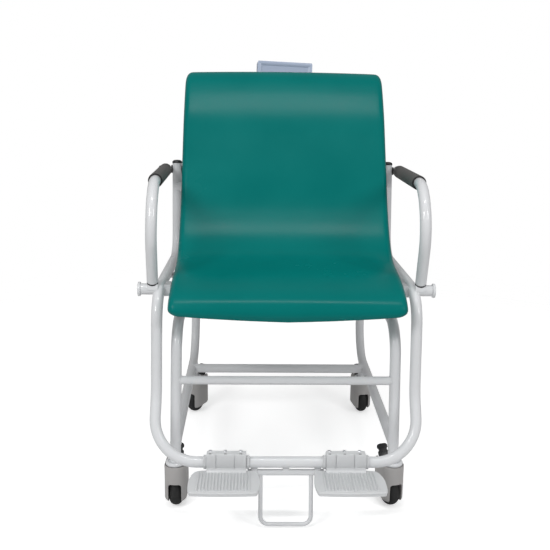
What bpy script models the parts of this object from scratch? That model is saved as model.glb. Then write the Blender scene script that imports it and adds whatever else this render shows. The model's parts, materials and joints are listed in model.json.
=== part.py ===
"""Digital chair scale: a moulded seat on a tubular weighing frame, carried by a castored base.

Metres, +Z up, the sitter looks along -Y. The floor is Z = 0 and the origin lies under
the middle of the whole scale.
"""
import math

import bmesh
import bpy
from mathutils import Matrix, Vector

for old_object in list(bpy.data.objects):
    bpy.data.objects.remove(old_object, do_unlink=True)

# General clearances
GAP = 0.0003                   # left between pieces that touch
OVERRUN = 0.004                # how far a cutter runs past what it cuts
WELD = 0.00001                 # merge distance for joined caps

# Frame tube
TUBE = 0.025                   # outside diameter of every frame tube
TUBE_R = TUBE / 2

# Castored base
LEG_SPLAY = 0.0220             # outward lean of the side frames, metres per metre
FRONT_LEG_Y = -0.290
REAR_LEG_Y = 0.379
RAIL_Z = 0.1577
TOP_BAR_Z = 0.440
BASE_BEND = 0.070              # centre line radius of the top bend
RAIL_BEND = 0.090              # centre line radius between rear leg and rail
LEG_TOP_RISE = 0.016           # how far the rear leg stands above the top bar's axis
CROSSBAR = 0.0195              # diameter of the front crossbar
CROSSBAR_Z = 0.3130
REAR_CROSSBAR_Y = 0.2292
SOCKET_R = 0.0135              # castor socket below the rail

# Castors
CASTOR_HEIGHT = 0.107          # floor to the top of the hood
WHEEL = 0.075
WHEEL_R = WHEEL / 2
WHEEL_WIDTH = 0.029
TREAD_ROUND = 0.009
HUB_STEP = 0.003
AXLE_R = 0.004
TRAIL = 0.014                  # axle behind the swivel axis
HOOD_R = 0.0265
HOOD_REACH = 0.034             # swivel axis to the centre of the hood's round tail
HOOD_BOTTOM = 0.018
HOOD_EDGE = 0.0035
HOOD_SKIRT = 0.009             # rounding of the hood's lower rim
WELL_WIDTH = 0.0305
WELL_R = 0.0395
ARCH_Z = 0.065                 # top of the opening in the hood's nose
COLLAR_R = 0.0239
COLLAR_HEIGHT = 0.0080
STEM_R = 0.0053
STEM_LENGTH = 0.012
AXLE_BITE = 0.006              # how far the axle runs into each cheek of the hood
PEDAL_WIDTH = 0.028
PEDAL_REACH = 0.062            # swivel axis to the pedal's tip
PEDAL_AXIS_Y = 0.040           # swivel axis to the pedal's hinge
PEDAL_Z = 0.098
PEDAL_RISE = 0.034             # tip above the hinge
PEDAL_THICK = 0.006
PEDAL_BARREL_R = 0.004
PEDAL_ROUND = 0.009
REAR_SWIVEL_Y = 0.286
LEFT_CASTOR_TURN = math.radians(-3)
RIGHT_CASTOR_TURN = math.radians(18)
REAR_LEFT_TURN = math.radians(-26)
REAR_RIGHT_TURN = math.radians(8)

# Weighing frame
SIDE_RAIL_Z = 0.5225
UPRIGHT_HALF = 0.2798          # drives every width of the frame, seat and arms
UPRIGHT_TOP_Y = 0.147
UPRIGHT_TOP_Z = 0.760
UPRIGHT_LEAN = math.radians(8.3)
UPRIGHT_BEND = 0.065
RAIL_SPLIT_Y = -0.200          # the side rail meets the front hoop here
RAIL_SPREAD = 0.0054
RAIL_SPLIT_HALF = UPRIGHT_HALF + RAIL_SPREAD
HOOP_Y = -0.3156
HOOP_TOP_SPREAD = 0.0070
HOOP_TOP_HALF = UPRIGHT_HALF + HOOP_TOP_SPREAD
HOOP_TOP_BEND = 0.070
HOOP_KNEE_Z = 0.290
HOOP_KNEE_SPREAD = 0.0120
HOOP_KNEE_HALF = UPRIGHT_HALF + HOOP_KNEE_SPREAD
HOOP_KNEE_BEND = 0.120
FOOT_BAR_Y = -0.375
FOOT_BAR_Z = 0.152
FOOT_BAR_SPREAD = 0.0162
FOOT_BAR_HALF = UPRIGHT_HALF + FOOT_BAR_SPREAD
LOW_BEND_SHARE = 0.32095       # bend between hoop and foot bar, as a share of its half width
HOOP_LOW_BEND = FOOT_BAR_HALF * LOW_BEND_SHARE
BASE_MARGIN = 0.0268           # side frame inside the upright, at rail height
BASE_HALF = UPRIGHT_HALF - BASE_MARGIN
CAP_R = 0.0131
CAP_RISE = 0.0088
# Dome of the upright's cap, as shares of its radius and rise
CAP_DOME_SHARES = [(0, 1), (0.50, 0.94), (0.82, 0.66), (1, 0.25)]

# Side stubs that the arms rest on
STUB_Y = -0.275
STUB_BITE = 0.0057             # inner end outside the hoop's axis
STUB_START = HOOP_TOP_HALF + STUB_BITE
STUB_REACH = 0.0462            # hoop's axis to the flange's face
STUB_END = HOOP_TOP_HALF + STUB_REACH
FLANGE_R = 0.016
FLANGE_WIDTH = 0.0062
FLANGE_ROUND = 0.0012

# Flat seat bars and weighing unit
SEAT_BAR_WIDTH = 0.040
SEAT_BAR_THICK = 0.006
SEAT_BAR_LAP = 0.0022
SEAT_BAR_HALF = UPRIGHT_HALF + SEAT_BAR_LAP
FRONT_SEAT_BAR_Y = -0.245
REAR_SEAT_BAR_Y = -0.070
LUG_RISE = 0.019
CELL_PLATE_THICK = 0.006
CELL_PLATE_WIDTH = 0.160
CELL_LENGTH = 0.130
CELL_WIDTH = 0.030
CELL_PAD = 0.030               # length of the pads at the cell's two ends
CELL_PAD_RISE = 0.005
CELL_HOLE_R = 0.008
CELL_HOLE_SPREAD = 0.010
BEAM_DEPTH = 0.050

# Moulded seat
SEAT_FRONT_Y = -0.378
SEAT_RUN = 0.566               # front lip to the tip of the top roll
SEAT_RISE = 0.518              # bottom of the lip to the top
SEAT_MARGIN = 0.0190           # seat inside the upright
SEAT_FRONT_HALF = UPRIGHT_HALF - SEAT_MARGIN
SEAT_TAPER = 0.0068
SEAT_TOP_HALF = SEAT_FRONT_HALF - SEAT_TAPER
LUG_SPACE = 0.0014             # between seat and lug
LUG_INNER = SEAT_FRONT_HALF + LUG_SPACE
SEAT_THICK = 0.034
SEAT_CROWN = 0.006
SEAT_END_BOW = 0.010
SEAT_TOP_BOW = 0.005
SEAT_CORNER = 0.018
SEAT_EDGE = 0.030              # width of the drawn-in border
# From the border's inner line out round the side: shares of the border and of the thickness
SEAT_SIDE_SHARES = [(0.42, 0.10), (0.14, 0.30), (0, 0.62), (0.12, 0.90), (0.45, 1)]
# Last rings at each end: shares of the thickness and of the corner
SEAT_END_SHARES = [(0.55, 0.62), (0.88, 0.22), (1, 0.05)]
BOW_FRONT_RINGS = 5            # rings over which the front lip's bow fades
BOW_TOP_SHARE = 0.8            # where the bow of the top starts along the side line
SHELL_THICK = 0.004
SHELL_MARGIN = 0.019           # shell inside the seat's top
SHELL_HALF = SEAT_TOP_HALF - SHELL_MARGIN

# Back support
BOW_Z = 0.700
BOW_HALF = 0.150
BOW_BEND = 0.080
BOW_PLATE_WIDTH = 0.160
BOW_PLATE_HEIGHT = 0.050
BOW_PLATE_THICK = 0.004
BOW_PLATE_BITE = 0.001         # weld depth of the plate in the tube

# Arms
PIVOT_Z = 0.745
ARM_SPACE = 0.0042             # clear space between upright and arm
PIVOT_HALF = UPRIGHT_HALF + TUBE + ARM_SPACE
ARM_TAIL = 0.016
ARM_CORNER_IN = 0.0185
ARM_CORNER_HALF = PIVOT_HALF - ARM_CORNER_IN
ARM_NOSE = 0.1638              # grip's front end to the arm's front corner
ARM_CORNER_Z = 0.764
ARM_BEND = 0.095
ARM_FOOT_IN = 0.0085
ARM_FOOT_HALF = PIVOT_HALF - ARM_FOOT_IN
ARM_FOOT_RISE = 0.018          # arm tube end above the stub's axis
GRIP_R = 0.0165
GRIP_ROUND = 0.003
GRIP_REAR = 0.024              # grip's rear end in front of the pivot
GRIP_LENGTH = 0.342
SADDLE_LOW = 0.0075            # saddle's lowest point above the stub's axis
BOLT_R = 0.004
BOLT_HEAD_R = 0.0088
BOLT_HEAD = 0.0065
BOLT_FACE_R = 0.0062           # flat middle of the head
BUSH_R = 0.0105

# Footplates
HINGE_SHARE = 0.44764          # hinge leaf's middle, as a share of the foot bar's half width
PLATE_HALF_SPACING = FOOT_BAR_HALF * HINGE_SHARE
LEAF_WIDTH = 0.088
PLATE_OUT = 0.0762
PLATE_OUTER = PLATE_HALF_SPACING + PLATE_OUT
PLATE_IN = 0.0765
PLATE_INNER = PLATE_HALF_SPACING - PLATE_IN
PLATE_FRONT_IN = 0.0636
PLATE_INNER_FRONT = PLATE_HALF_SPACING - PLATE_FRONT_IN
PLATE_REAR = 0.009             # rear edge in front of the foot bar's axis
PLATE_DEPTH = 0.112            # fore and aft at the outer corner
PLATE_SKEW = 0.001             # how much deeper the inner corner is
PLATE_THICK = 0.010
PLATE_DROP = 0.0160            # top face below the foot bar's axis at its rear edge
PLATE_TILT = math.radians(3)
PLATE_EDGE = 0.0022
PLATE_OUTER_ROUND = 0.040
PLATE_ROUND = 0.008
PLATE_BOW = 0.004
CLAMP_FRONT = 0.0190
CLAMP_REAR = 0.0170
CLAMP_TOP = 0.0225
CLAMP_TOP_DEPTH = 0.014
CLAMP_LOW = 0.0160
RAMP_FRONT = 0.034
RAMP_Z = 0.0153
RAMP_TOP_Z = 0.008
COLLAR_RING_R = 0.0165
COLLAR_RING_WIDTH = 0.0065

# Tip guard
GUARD_BAR_R = 0.007
GUARD_BAR_Y = -0.372
GUARD_BAR_Z = 0.126
GUARD_ROD_R = 0.0048
GUARD_LOW_Y = -0.395
GUARD_LOW_Z = 0.011
GUARD_BEND = 0.018
GUARD_TAB_WIDTH = 0.015
GUARD_TAB_THICK = 0.008
GUARD_TAB_IN = 0.0615          # outer tab's middle inside the hinge leaf's middle
GUARD_TAB_OUT = PLATE_HALF_SPACING - GUARD_TAB_IN
GUARD_STEP = 0.0145            # tab to the bar's end, and tab to the loop
GUARD_BAR_HALF = GUARD_TAB_OUT + GUARD_STEP
GUARD_HALF = GUARD_TAB_OUT - GUARD_STEP

# Display
DISPLAY_WIDTH = 0.147
DISPLAY_HEIGHT = 0.088
DISPLAY_DEPTH = 0.034
DISPLAY_Y = 0.267              # tilt axis
DISPLAY_Z = 0.981
DISPLAY_BACK = 0.018           # back face in front of the tilt axis
DISPLAY_UP = 0.036             # top of the housing above the tilt axis
DISPLAY_LEAN = math.radians(10)
DISPLAY_ROLL = math.radians(2.3)
DISPLAY_YAW = math.radians(5)
DISPLAY_WALL = 0.0025
DISPLAY_EDGE = 0.003
DISPLAY_PARTING = 0.016        # front shell's depth
LENS_WIDTH = 0.092
LENS_HEIGHT = 0.030
LENS_DROP = 0.047              # lens middle below the housing's top
LENS_THICK = 0.0015
LENS_RECESS = 0.0003
KEY_COUNT = 3
KEY_WIDTH = 0.016
KEY_HEIGHT = 0.009
KEY_PITCH = 0.030
KEY_DROP = 0.073
KEY_PROUD = 0.0012
KEY_STEM = 0.0040
BOARD_WIDTH = 0.128
BOARD_HEIGHT = 0.072
BOARD_THICK = 0.0016
BOARD_DEPTH = 0.0095           # board's front face behind the housing's front
BOSS_R = 0.003
EAR_THICK = 0.004
EAR_REACH = 0.009
TONGUE_HALF = 0.0081           # half width of the head's tongue, and its rise above the axis
TONGUE_ROUND = 0.0076
TONGUE_THICK = 0.008
PIN_R = 0.0025
PIN_PLAY = 0.0003
HEAD_R = 0.0120
HEAD_HEIGHT = 0.016
HEAD_DROP = 0.014              # top of the head below the tilt axis
POLE_R = 0.010
POLE_KNEE_Z = 0.865            # the pole stands upright above this height
POLE_BEND = 0.040

# Finishes: colour, roughness, metallic
FINISHES = {
    "white_powder_coat": ((0.72, 0.73, 0.74), 0.30, 0.0),
    "teal_skin": ((0.0, 0.16, 0.14), 0.45, 0.0),
    "black_rubber": ((0.015, 0.015, 0.015), 0.6, 0.0),
    "grey_foam": ((0.10, 0.10, 0.10), 0.8, 0.0),
    "castor_plastic": ((0.33, 0.32, 0.31), 0.45, 0.0),
    "dark_plastic": ((0.03, 0.03, 0.03), 0.4, 0.0),
    "footplate_plastic": ((0.62, 0.63, 0.64), 0.4, 0.0),
    "display_plastic": ((0.40, 0.46, 0.58), 0.4, 0.0),
    "display_window": ((0.20, 0.24, 0.20), 0.1, 0.0),
    "key_plastic": ((0.20, 0.24, 0.32), 0.4, 0.0),
    "circuit_board": ((0.02, 0.18, 0.07), 0.5, 0.0),
    "aluminium": ((0.77, 0.78, 0.80), 0.35, 1.0),
    "shell_steel": ((0.05, 0.05, 0.05), 0.5, 0.0),
}

parts = bpy.data.collections.new("digital_chair_scale")
cutters = bpy.data.collections.new("cutters")
for shelf in (parts, cutters):
    bpy.context.scene.collection.children.link(shelf)


def make_finish(name):
    """One Principled material for each finish."""
    colour, roughness, metallic = FINISHES[name]
    finish = bpy.data.materials.new(name)
    finish.use_nodes = True
    shader = finish.node_tree.nodes["Principled BSDF"]
    shader.inputs["Base Color"].default_value = (*colour, 1)
    shader.inputs["Roughness"].default_value = roughness
    shader.inputs["Metallic"].default_value = metallic
    return finish


def frame_empty(name, location=(0, 0, 0), parent=None, turn=0):
    """An empty that carries a group of pieces, turned about Z."""
    empty = bpy.data.objects.new(name, None)
    empty.location = location
    empty.rotation_euler = (0, 0, turn)
    empty.parent = parent
    parts.objects.link(empty)
    return empty


def reach_middle():
    """Y of the middle between the footplates' bowed fronts and the rear legs' backs."""
    front = (FOOT_BAR_Y - PLATE_REAR - (PLATE_DEPTH + PLATE_SKEW / 2 + PLATE_BOW)
             * math.cos(PLATE_TILT) - PLATE_THICK * math.sin(PLATE_TILT) / 2)
    return (front + REAR_LEG_Y + TUBE_R) / 2


stand = frame_empty("stand", (0, -reach_middle(), 0))


def keep(piece, finish, parent=None):
    """File a finished piece, with its own material, under what carries it."""
    parts.objects.link(piece)
    piece.parent = parent or stand
    piece.data.materials.clear()
    piece.data.materials.append(make_finish(finish))
    piece.data.shade_smooth()
    piece.data.set_sharp_from_angle(angle=math.radians(35))
    return piece


def as_tool(piece, parent=None):
    """File a cutter or an added shape out of sight, in the same space as the pieces."""
    cutters.objects.link(piece)
    piece.parent = parent or stand
    piece.hide_render = True
    piece.display_type = "WIRE"
    return piece


def combine(piece, tool, operation, parent=None):
    """Cut or join a piece with a hidden shape."""
    as_tool(tool, parent)
    step = piece.modifiers.new(tool.name, "BOOLEAN")
    step.operation = operation
    step.solver = "EXACT"
    step.object = tool
    return piece


def cut(piece, tool, parent=None):
    return combine(piece, tool, "DIFFERENCE", parent)


def weld_on(piece, tool, parent=None):
    return combine(piece, tool, "UNION", parent)


def from_bmesh(name, shape):
    """A mesh object from a bmesh, faces outward."""
    bmesh.ops.recalc_face_normals(shape, faces=shape.faces)
    mesh = bpy.data.meshes.new(name)
    shape.to_mesh(mesh)
    shape.free()
    return bpy.data.objects.new(name, mesh)


def block(name, low, high, edge=0):
    """A box between two corners, with an optional rounded edge."""
    low, high = Vector(low), Vector(high)
    shape = bmesh.new()
    bmesh.ops.create_cube(shape, size=1)
    size = high - low
    bmesh.ops.transform(shape, verts=shape.verts,
                        matrix=Matrix.Translation((low + high) / 2) @ Matrix.Diagonal((*size, 1)))
    if edge:
        bmesh.ops.bevel(shape, geom=shape.edges[:], offset=edge, segments=2, profile=0.5,
                        affect="EDGES")
    return from_bmesh(name, shape)


def rod(name, start, end, radius, sides=16):
    """A straight round bar between two points."""
    start, end = Vector(start), Vector(end)
    run = end - start
    turn = Vector((0, 0, 1)).rotation_difference(run).to_matrix().to_4x4()
    shape = bmesh.new()
    bmesh.ops.create_cone(shape, cap_ends=True, segments=sides, radius1=radius, radius2=radius,
                          depth=run.length, matrix=Matrix.Translation((start + end) / 2) @ turn)
    return from_bmesh(name, shape)


def outside(radius, sides=16):
    """Corner radius of a many-sided cutter whose flats clear a round tube by the gap."""
    return (radius + GAP) / math.cos(math.pi / sides)


def cope(piece, start, end, radius, parent=None):
    """Fit a tube's end to the side of another tube."""
    start, end = Vector(start), Vector(end)
    run = (end - start).normalized() * OVERRUN
    tool = rod(f"{piece.name}_cope", start - run, end + run, outside(radius))
    return cut(piece, tool, parent)


def bend_path(corners, radii, steps=6):
    """Centre line through corners, each inner one rounded to its own radius."""
    corners = [Vector(corner) for corner in corners]
    path = [corners[0]]
    for before, corner, after, radius in zip(corners, corners[1:], corners[2:], radii):
        inward, outward = (before - corner).normalized(), (after - corner).normalized()
        half = inward.angle(outward) / 2
        reach = radius / math.tan(half)
        middle = corner + (inward + outward).normalized() * (radius / math.sin(half))
        first = corner + inward * reach - middle
        last = corner + outward * reach - middle
        sweep = first.angle(last)
        for index in range(steps + 1):
            share = index / steps
            point = (first * math.sin(sweep * (1 - share)) + last * math.sin(sweep * share))
            path.append(middle + point / math.sin(sweep))
    path.append(corners[-1])
    return path


def mirrored(points):
    """The same points on the other side of the scale's middle plane."""
    return [Vector((-point[0], point[1], point[2])) for point in points]


def tube(name, path, radius, resolution=3):
    """A bent tube as a solid mesh with welded caps."""
    curve = bpy.data.curves.new(name, "CURVE")
    curve.dimensions = "3D"
    curve.bevel_depth = radius
    curve.bevel_resolution = resolution
    curve.use_fill_caps = True
    spline = curve.splines.new("POLY")
    spline.points.add(len(path) - 1)
    for point, place in zip(spline.points, path):
        point.co = (*place, 1)
    return curve_to_mesh(name, curve)


def curve_to_mesh(name, curve):
    """Turn a curve into one closed mesh object."""
    guide = bpy.data.objects.new(f"{name}_line", curve)
    cutters.objects.link(guide)
    bpy.context.view_layer.update()
    graph = bpy.context.evaluated_depsgraph_get()
    mesh = bpy.data.meshes.new_from_object(guide.evaluated_get(graph))
    bpy.data.objects.remove(guide, do_unlink=True)
    shape = bmesh.new()
    shape.from_mesh(mesh)
    bmesh.ops.remove_doubles(shape, verts=shape.verts, dist=WELD)
    return from_bmesh(name, shape)


def slab(name, outline, thick, edge=0):
    """A flat outline in its own XY plane, thickened both ways from Z = 0, its rims rounded."""
    curve = bpy.data.curves.new(name, "CURVE")
    curve.dimensions = "2D"
    curve.fill_mode = "BOTH"
    curve.extrude = thick / 2
    spline = curve.splines.new("POLY")
    spline.points.add(len(outline) - 1)
    for point, place in zip(spline.points, outline):
        point.co = (place[0], place[1], 0, 1)
    spline.use_cyclic_u = True
    piece = curve_to_mesh(name, curve)
    if edge:
        round_rims(piece.data, edge, edge)
    return piece


def round_rims(mesh, edge, low_edge):
    """Round the edges where a slab's flat faces meet its side, the lower ones by their own size."""
    shape = bmesh.new()
    shape.from_mesh(mesh)
    bmesh.ops.dissolve_limit(shape, angle_limit=math.radians(1), verts=shape.verts,
                             edges=shape.edges)
    for way, size in ((1, edge), (-1, low_edge)):
        flats = [face for face in shape.faces if face.normal.z * way > 0.9]
        rims = [rim for rim in shape.edges if sum(face in flats for face in rim.link_faces) == 1]
        bmesh.ops.bevel(shape, geom=rims, offset=size, segments=2, profile=0.5, affect="EDGES")
    shape.to_mesh(mesh)
    shape.free()


def move_mesh(piece, matrix):
    """Place a piece's own mesh without touching its origin."""
    piece.data.transform(matrix)
    return piece


def turned(name, profile, segments=20):
    """A profile of (radius, height) points, outer side from top to bottom, spun about Z."""
    mesh = bpy.data.meshes.new(name)
    edges = [(index, index + 1) for index in range(len(profile) - 1)]
    if profile[0][0]:
        edges.append((len(profile) - 1, 0))
    mesh.from_pydata([(radius, 0, height) for radius, height in profile], edges, [])
    piece = bpy.data.objects.new(name, mesh)
    spin = piece.modifiers.new("spin", "SCREW")
    spin.steps = spin.render_steps = segments
    spin.use_merge_vertices = True
    spin.merge_threshold = WELD
    spin.use_smooth_shade = True
    return piece


def along(direction):
    """Rotation that lays a turned piece's Z axis along a direction."""
    return Vector((0, 0, 1)).rotation_difference(Vector(direction)).to_euler()


def arc(centre, radius, start, end, steps=4):
    """Points on an arc in a plane, angles in degrees."""
    points = []
    for index in range(steps + 1):
        angle = math.radians(start + (end - start) * index / steps)
        points.append((centre[0] + radius * math.cos(angle), centre[1] + radius * math.sin(angle)))
    return points


def rounded_outline(corners, radii, steps=4):
    """A closed flat outline whose corners are rounded."""
    points = []
    count = len(corners)
    for index in range(count):
        before, corner, after = (Vector((*corners[(index + shift) % count], 0))
                                 for shift in (-1, 0, 1))
        if not radii[index]:
            points.append((corner.x, corner.y))
            continue
        bend = bend_path([before, corner, after], [radii[index]], steps)
        points += [(point.x, point.y) for point in bend[1:-1]]
    return points


def base_half(height):
    """Half width of the leaning side frames at a height."""
    return BASE_HALF + LEG_SPLAY * (RAIL_Z - height)


def castor_stem(name, x, y, top):
    """Socket, swivel collar and stem, as one turned shape under a leg."""
    piece = turned(name, [
        (0, top), (SOCKET_R, top), (SOCKET_R, CASTOR_HEIGHT + GAP + COLLAR_HEIGHT),
        (COLLAR_R, CASTOR_HEIGHT + GAP + COLLAR_HEIGHT), (COLLAR_R, CASTOR_HEIGHT + GAP),
        (STEM_R, CASTOR_HEIGHT + GAP), (STEM_R, CASTOR_HEIGHT - STEM_LENGTH),
        (0, CASTOR_HEIGHT - STEM_LENGTH)], segments=20)
    piece.location = (x, y, 0)
    return piece


def build_side_frame(side, sign):
    """One side of the base: front leg with its top bar, and rear leg with its rail."""
    low, high = base_half(CASTOR_HEIGHT), base_half(TOP_BAR_Z)
    foot = CASTOR_HEIGHT + COLLAR_HEIGHT
    front = bend_path([(sign * low, FRONT_LEG_Y, foot), (sign * high, FRONT_LEG_Y, TOP_BAR_Z),
                       (sign * high, REAR_LEG_Y, TOP_BAR_Z)], [BASE_BEND])
    front_leg = tube(f"front_leg_{side}", front, TUBE_R)
    weld_on(front_leg, castor_stem(f"front_stem_{side}", sign * low, FRONT_LEG_Y, foot + TUBE_R))
    rear_top = (sign * high, REAR_LEG_Y, TOP_BAR_Z + LEG_TOP_RISE)
    rear_low = (sign * BASE_HALF, REAR_LEG_Y, RAIL_Z)
    cope(front_leg, (sign * base_half(RAIL_Z), REAR_LEG_Y, RAIL_Z), rear_top, TUBE_R)
    keep(front_leg, "white_powder_coat")
    rear = bend_path([rear_top, rear_low, (sign * BASE_HALF, FRONT_LEG_Y, RAIL_Z)], [RAIL_BEND])
    rear_leg = tube(f"rear_leg_{side}", rear, TUBE_R)
    weld_on(rear_leg, castor_stem(f"rear_stem_{side}", sign * BASE_HALF, REAR_SWIVEL_Y, RAIL_Z))
    cope(rear_leg, (sign * low, FRONT_LEG_Y, CASTOR_HEIGHT), (sign * high, FRONT_LEG_Y, TOP_BAR_Z),
         TUBE_R)
    keep(rear_leg, "white_powder_coat")


def build_crossbars():
    """The two tubes that tie the base's side frames together."""
    half = base_half(CROSSBAR_Z)
    front = rod("front_crossbar", (-half, FRONT_LEG_Y, CROSSBAR_Z), (half, FRONT_LEG_Y, CROSSBAR_Z),
                CROSSBAR / 2)
    rear = rod("rear_crossbar", (-BASE_HALF, REAR_CROSSBAR_Y, RAIL_Z),
               (BASE_HALF, REAR_CROSSBAR_Y, RAIL_Z), TUBE_R)
    for sign in (-1, 1):
        cope(front, (sign * base_half(RAIL_Z), FRONT_LEG_Y, RAIL_Z),
             (sign * base_half(TOP_BAR_Z), FRONT_LEG_Y, TOP_BAR_Z), TUBE_R)
        cope(rear, (sign * BASE_HALF, FRONT_LEG_Y, RAIL_Z), (sign * BASE_HALF, REAR_LEG_Y, RAIL_Z),
             TUBE_R)
    keep(front, "white_powder_coat")
    keep(rear, "white_powder_coat")


def seat_bar_top():
    return SIDE_RAIL_Z - TUBE_R - GAP


def build_weighing_unit():
    """Beam, load cell and plate between the base and the seat bars."""
    beam_top = TOP_BAR_Z + TUBE_R
    half = base_half(TOP_BAR_Z)
    cell_middle = (FRONT_SEAT_BAR_Y + REAR_SEAT_BAR_Y) / 2
    front, rear = cell_middle - CELL_LENGTH / 2, cell_middle + CELL_LENGTH / 2
    beam_front = rear - CELL_PAD / 2 - BEAM_DEPTH / 2
    beam = block("load_beam", (-half, beam_front, TOP_BAR_Z - TUBE_R),
                 (half, beam_front + BEAM_DEPTH, beam_top))
    for sign in (-1, 1):
        cope(beam, (sign * half, FRONT_LEG_Y, TOP_BAR_Z), (sign * half, REAR_LEG_Y, TOP_BAR_Z), TUBE_R)
    keep(beam, "white_powder_coat")
    plate_top = seat_bar_top() - SEAT_BAR_THICK - GAP
    plate_low = plate_top - CELL_PLATE_THICK
    keep(block("load_plate", (-CELL_PLATE_WIDTH / 2, FRONT_SEAT_BAR_Y - SEAT_BAR_WIDTH / 2, plate_low),
               (CELL_PLATE_WIDTH / 2, REAR_SEAT_BAR_Y + SEAT_BAR_WIDTH / 2, plate_top)),
         "white_powder_coat")
    low, high = beam_top + GAP, plate_low - GAP
    wide = CELL_WIDTH / 2
    cell = block("load_cell", (-wide, front, low + CELL_PAD_RISE), (wide, rear, high - CELL_PAD_RISE))
    weld_on(cell, block("cell_low_pad", (-wide, rear - CELL_PAD, low),
                        (wide, rear, low + CELL_PAD_RISE * 2)))
    weld_on(cell, block("cell_high_pad", (-wide, front, high - CELL_PAD_RISE * 2),
                        (wide, front + CELL_PAD, high)))
    for sign in (-1, 1):
        middle = cell_middle + sign * CELL_HOLE_SPREAD
        cut(cell, rod(f"cell_hole_{sign}", (-wide - OVERRUN, middle, (low + high) / 2),
                      (wide + OVERRUN, middle, (low + high) / 2), CELL_HOLE_R))
    keep(cell, "aluminium")


def hood_outline():
    """Plan of a castor hood: round under the swivel and round behind the wheel."""
    return arc((0, HOOD_REACH), HOOD_R, 0, 180, 7) + arc((0, 0), HOOD_R, 180, 360, 7)


def build_castor(corner, x, y, turn):
    """Hood, wheel and brake pedal of one castor, on an empty at its swivel axis."""
    swivel = frame_empty(f"castor_{corner}", (x, y, 0), stand, turn)
    height = CASTOR_HEIGHT - HOOD_BOTTOM
    hood = slab(f"castor_hood_{corner}", hood_outline(), height)
    round_rims(hood.data, HOOD_EDGE, HOOD_SKIRT)
    move_mesh(hood, Matrix.Translation((0, 0, HOOD_BOTTOM + height / 2)))
    half_well = WELL_WIDTH / 2
    well = rod(f"well_{corner}", (-half_well, TRAIL, WHEEL_R), (half_well, TRAIL, WHEEL_R), WELL_R, 18)
    cut(hood, well, swivel)
    cut(hood, block(f"well_mouth_{corner}", (-half_well, TRAIL - WELL_R, HOOD_BOTTOM - OVERRUN),
                    (half_well, TRAIL + WELL_R, WHEEL_R)), swivel)
    cut(hood, block(f"arch_{corner}", (-half_well, -HOOD_R - OVERRUN, HOOD_BOTTOM - OVERRUN),
                    (half_well, TRAIL, ARCH_Z)), swivel)
    pin_half = half_well + AXLE_BITE
    cut(hood, rod(f"axle_hole_{corner}", (-pin_half - GAP, TRAIL, WHEEL_R),
                  (pin_half + GAP, TRAIL, WHEEL_R), outside(AXLE_R)), swivel)
    cut(hood, rod(f"stem_hole_{corner}", (0, 0, CASTOR_HEIGHT - STEM_LENGTH - GAP),
                  (0, 0, CASTOR_HEIGHT + OVERRUN), outside(STEM_R)), swivel)
    half_notch, seat = PEDAL_WIDTH / 2 + GAP, PEDAL_BARREL_R + GAP
    cut(hood, block(f"pedal_notch_{corner}", (-half_notch, PEDAL_AXIS_Y - seat, PEDAL_Z - seat),
                    (half_notch, HOOD_REACH + HOOD_R + OVERRUN, CASTOR_HEIGHT + OVERRUN)), swivel)
    keep(hood, "castor_plastic", swivel)
    half = WHEEL_WIDTH / 2
    flat = WHEEL_R - TREAD_ROUND
    tread = [(radius + flat, height + half - TREAD_ROUND) for radius, height in
             arc((0, 0), TREAD_ROUND, 90, 0, 2)]
    low_tread = [(radius, -height) for radius, height in reversed(tread)]
    hub = WHEEL_R / 2
    wheel = turned(f"wheel_{corner}", [(0, pin_half), (AXLE_R, pin_half), (AXLE_R, half),
                                      (hub, half), (hub + HUB_STEP, half - HUB_STEP), *tread,
                                      *low_tread, (hub + HUB_STEP, HUB_STEP - half), (hub, -half),
                                      (AXLE_R, -half), (AXLE_R, -pin_half), (0, -pin_half)], 18)
    wheel.location = (0, TRAIL, WHEEL_R)
    wheel.rotation_euler = (0, math.pi / 2, 0)
    keep(wheel, "black_rubber", swivel)
    build_pedal(corner, swivel)


def build_pedal(corner, swivel):
    """Brake pedal behind the hood, its barrel lying in a notch of the hood."""
    half = PEDAL_WIDTH / 2
    run = PEDAL_REACH - PEDAL_AXIS_Y
    reach = math.hypot(run, PEDAL_RISE)
    outline = rounded_outline([(-half, 0), (half, 0), (half, reach), (-half, reach)],
                              [0, 0, PEDAL_ROUND, PEDAL_ROUND])
    pedal = slab(f"brake_pedal_{corner}", outline, PEDAL_THICK)
    move_mesh(pedal, Matrix.Rotation(math.atan2(PEDAL_RISE, run), 4, "X"))
    pedal.location = (0, PEDAL_AXIS_Y, PEDAL_Z)
    barrel = rod(f"pedal_barrel_{corner}", (-half, PEDAL_AXIS_Y, PEDAL_Z),
                 (half, PEDAL_AXIS_Y, PEDAL_Z), PEDAL_BARREL_R, 12)
    weld_on(pedal, barrel, swivel)
    keep(pedal, "dark_plastic", swivel)


def upright_y(height):
    """Y of the leaning upright's axis at a height."""
    return UPRIGHT_TOP_Y - (UPRIGHT_TOP_Z - height) * math.tan(UPRIGHT_LEAN)


def side_rail_half(y):
    """Half width of the side rails, which part a little towards the front."""
    back = upright_y(SIDE_RAIL_Z)
    share = (y - back) / (RAIL_SPLIT_Y - back)
    return UPRIGHT_HALF + share * (RAIL_SPLIT_HALF - UPRIGHT_HALF)


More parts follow.
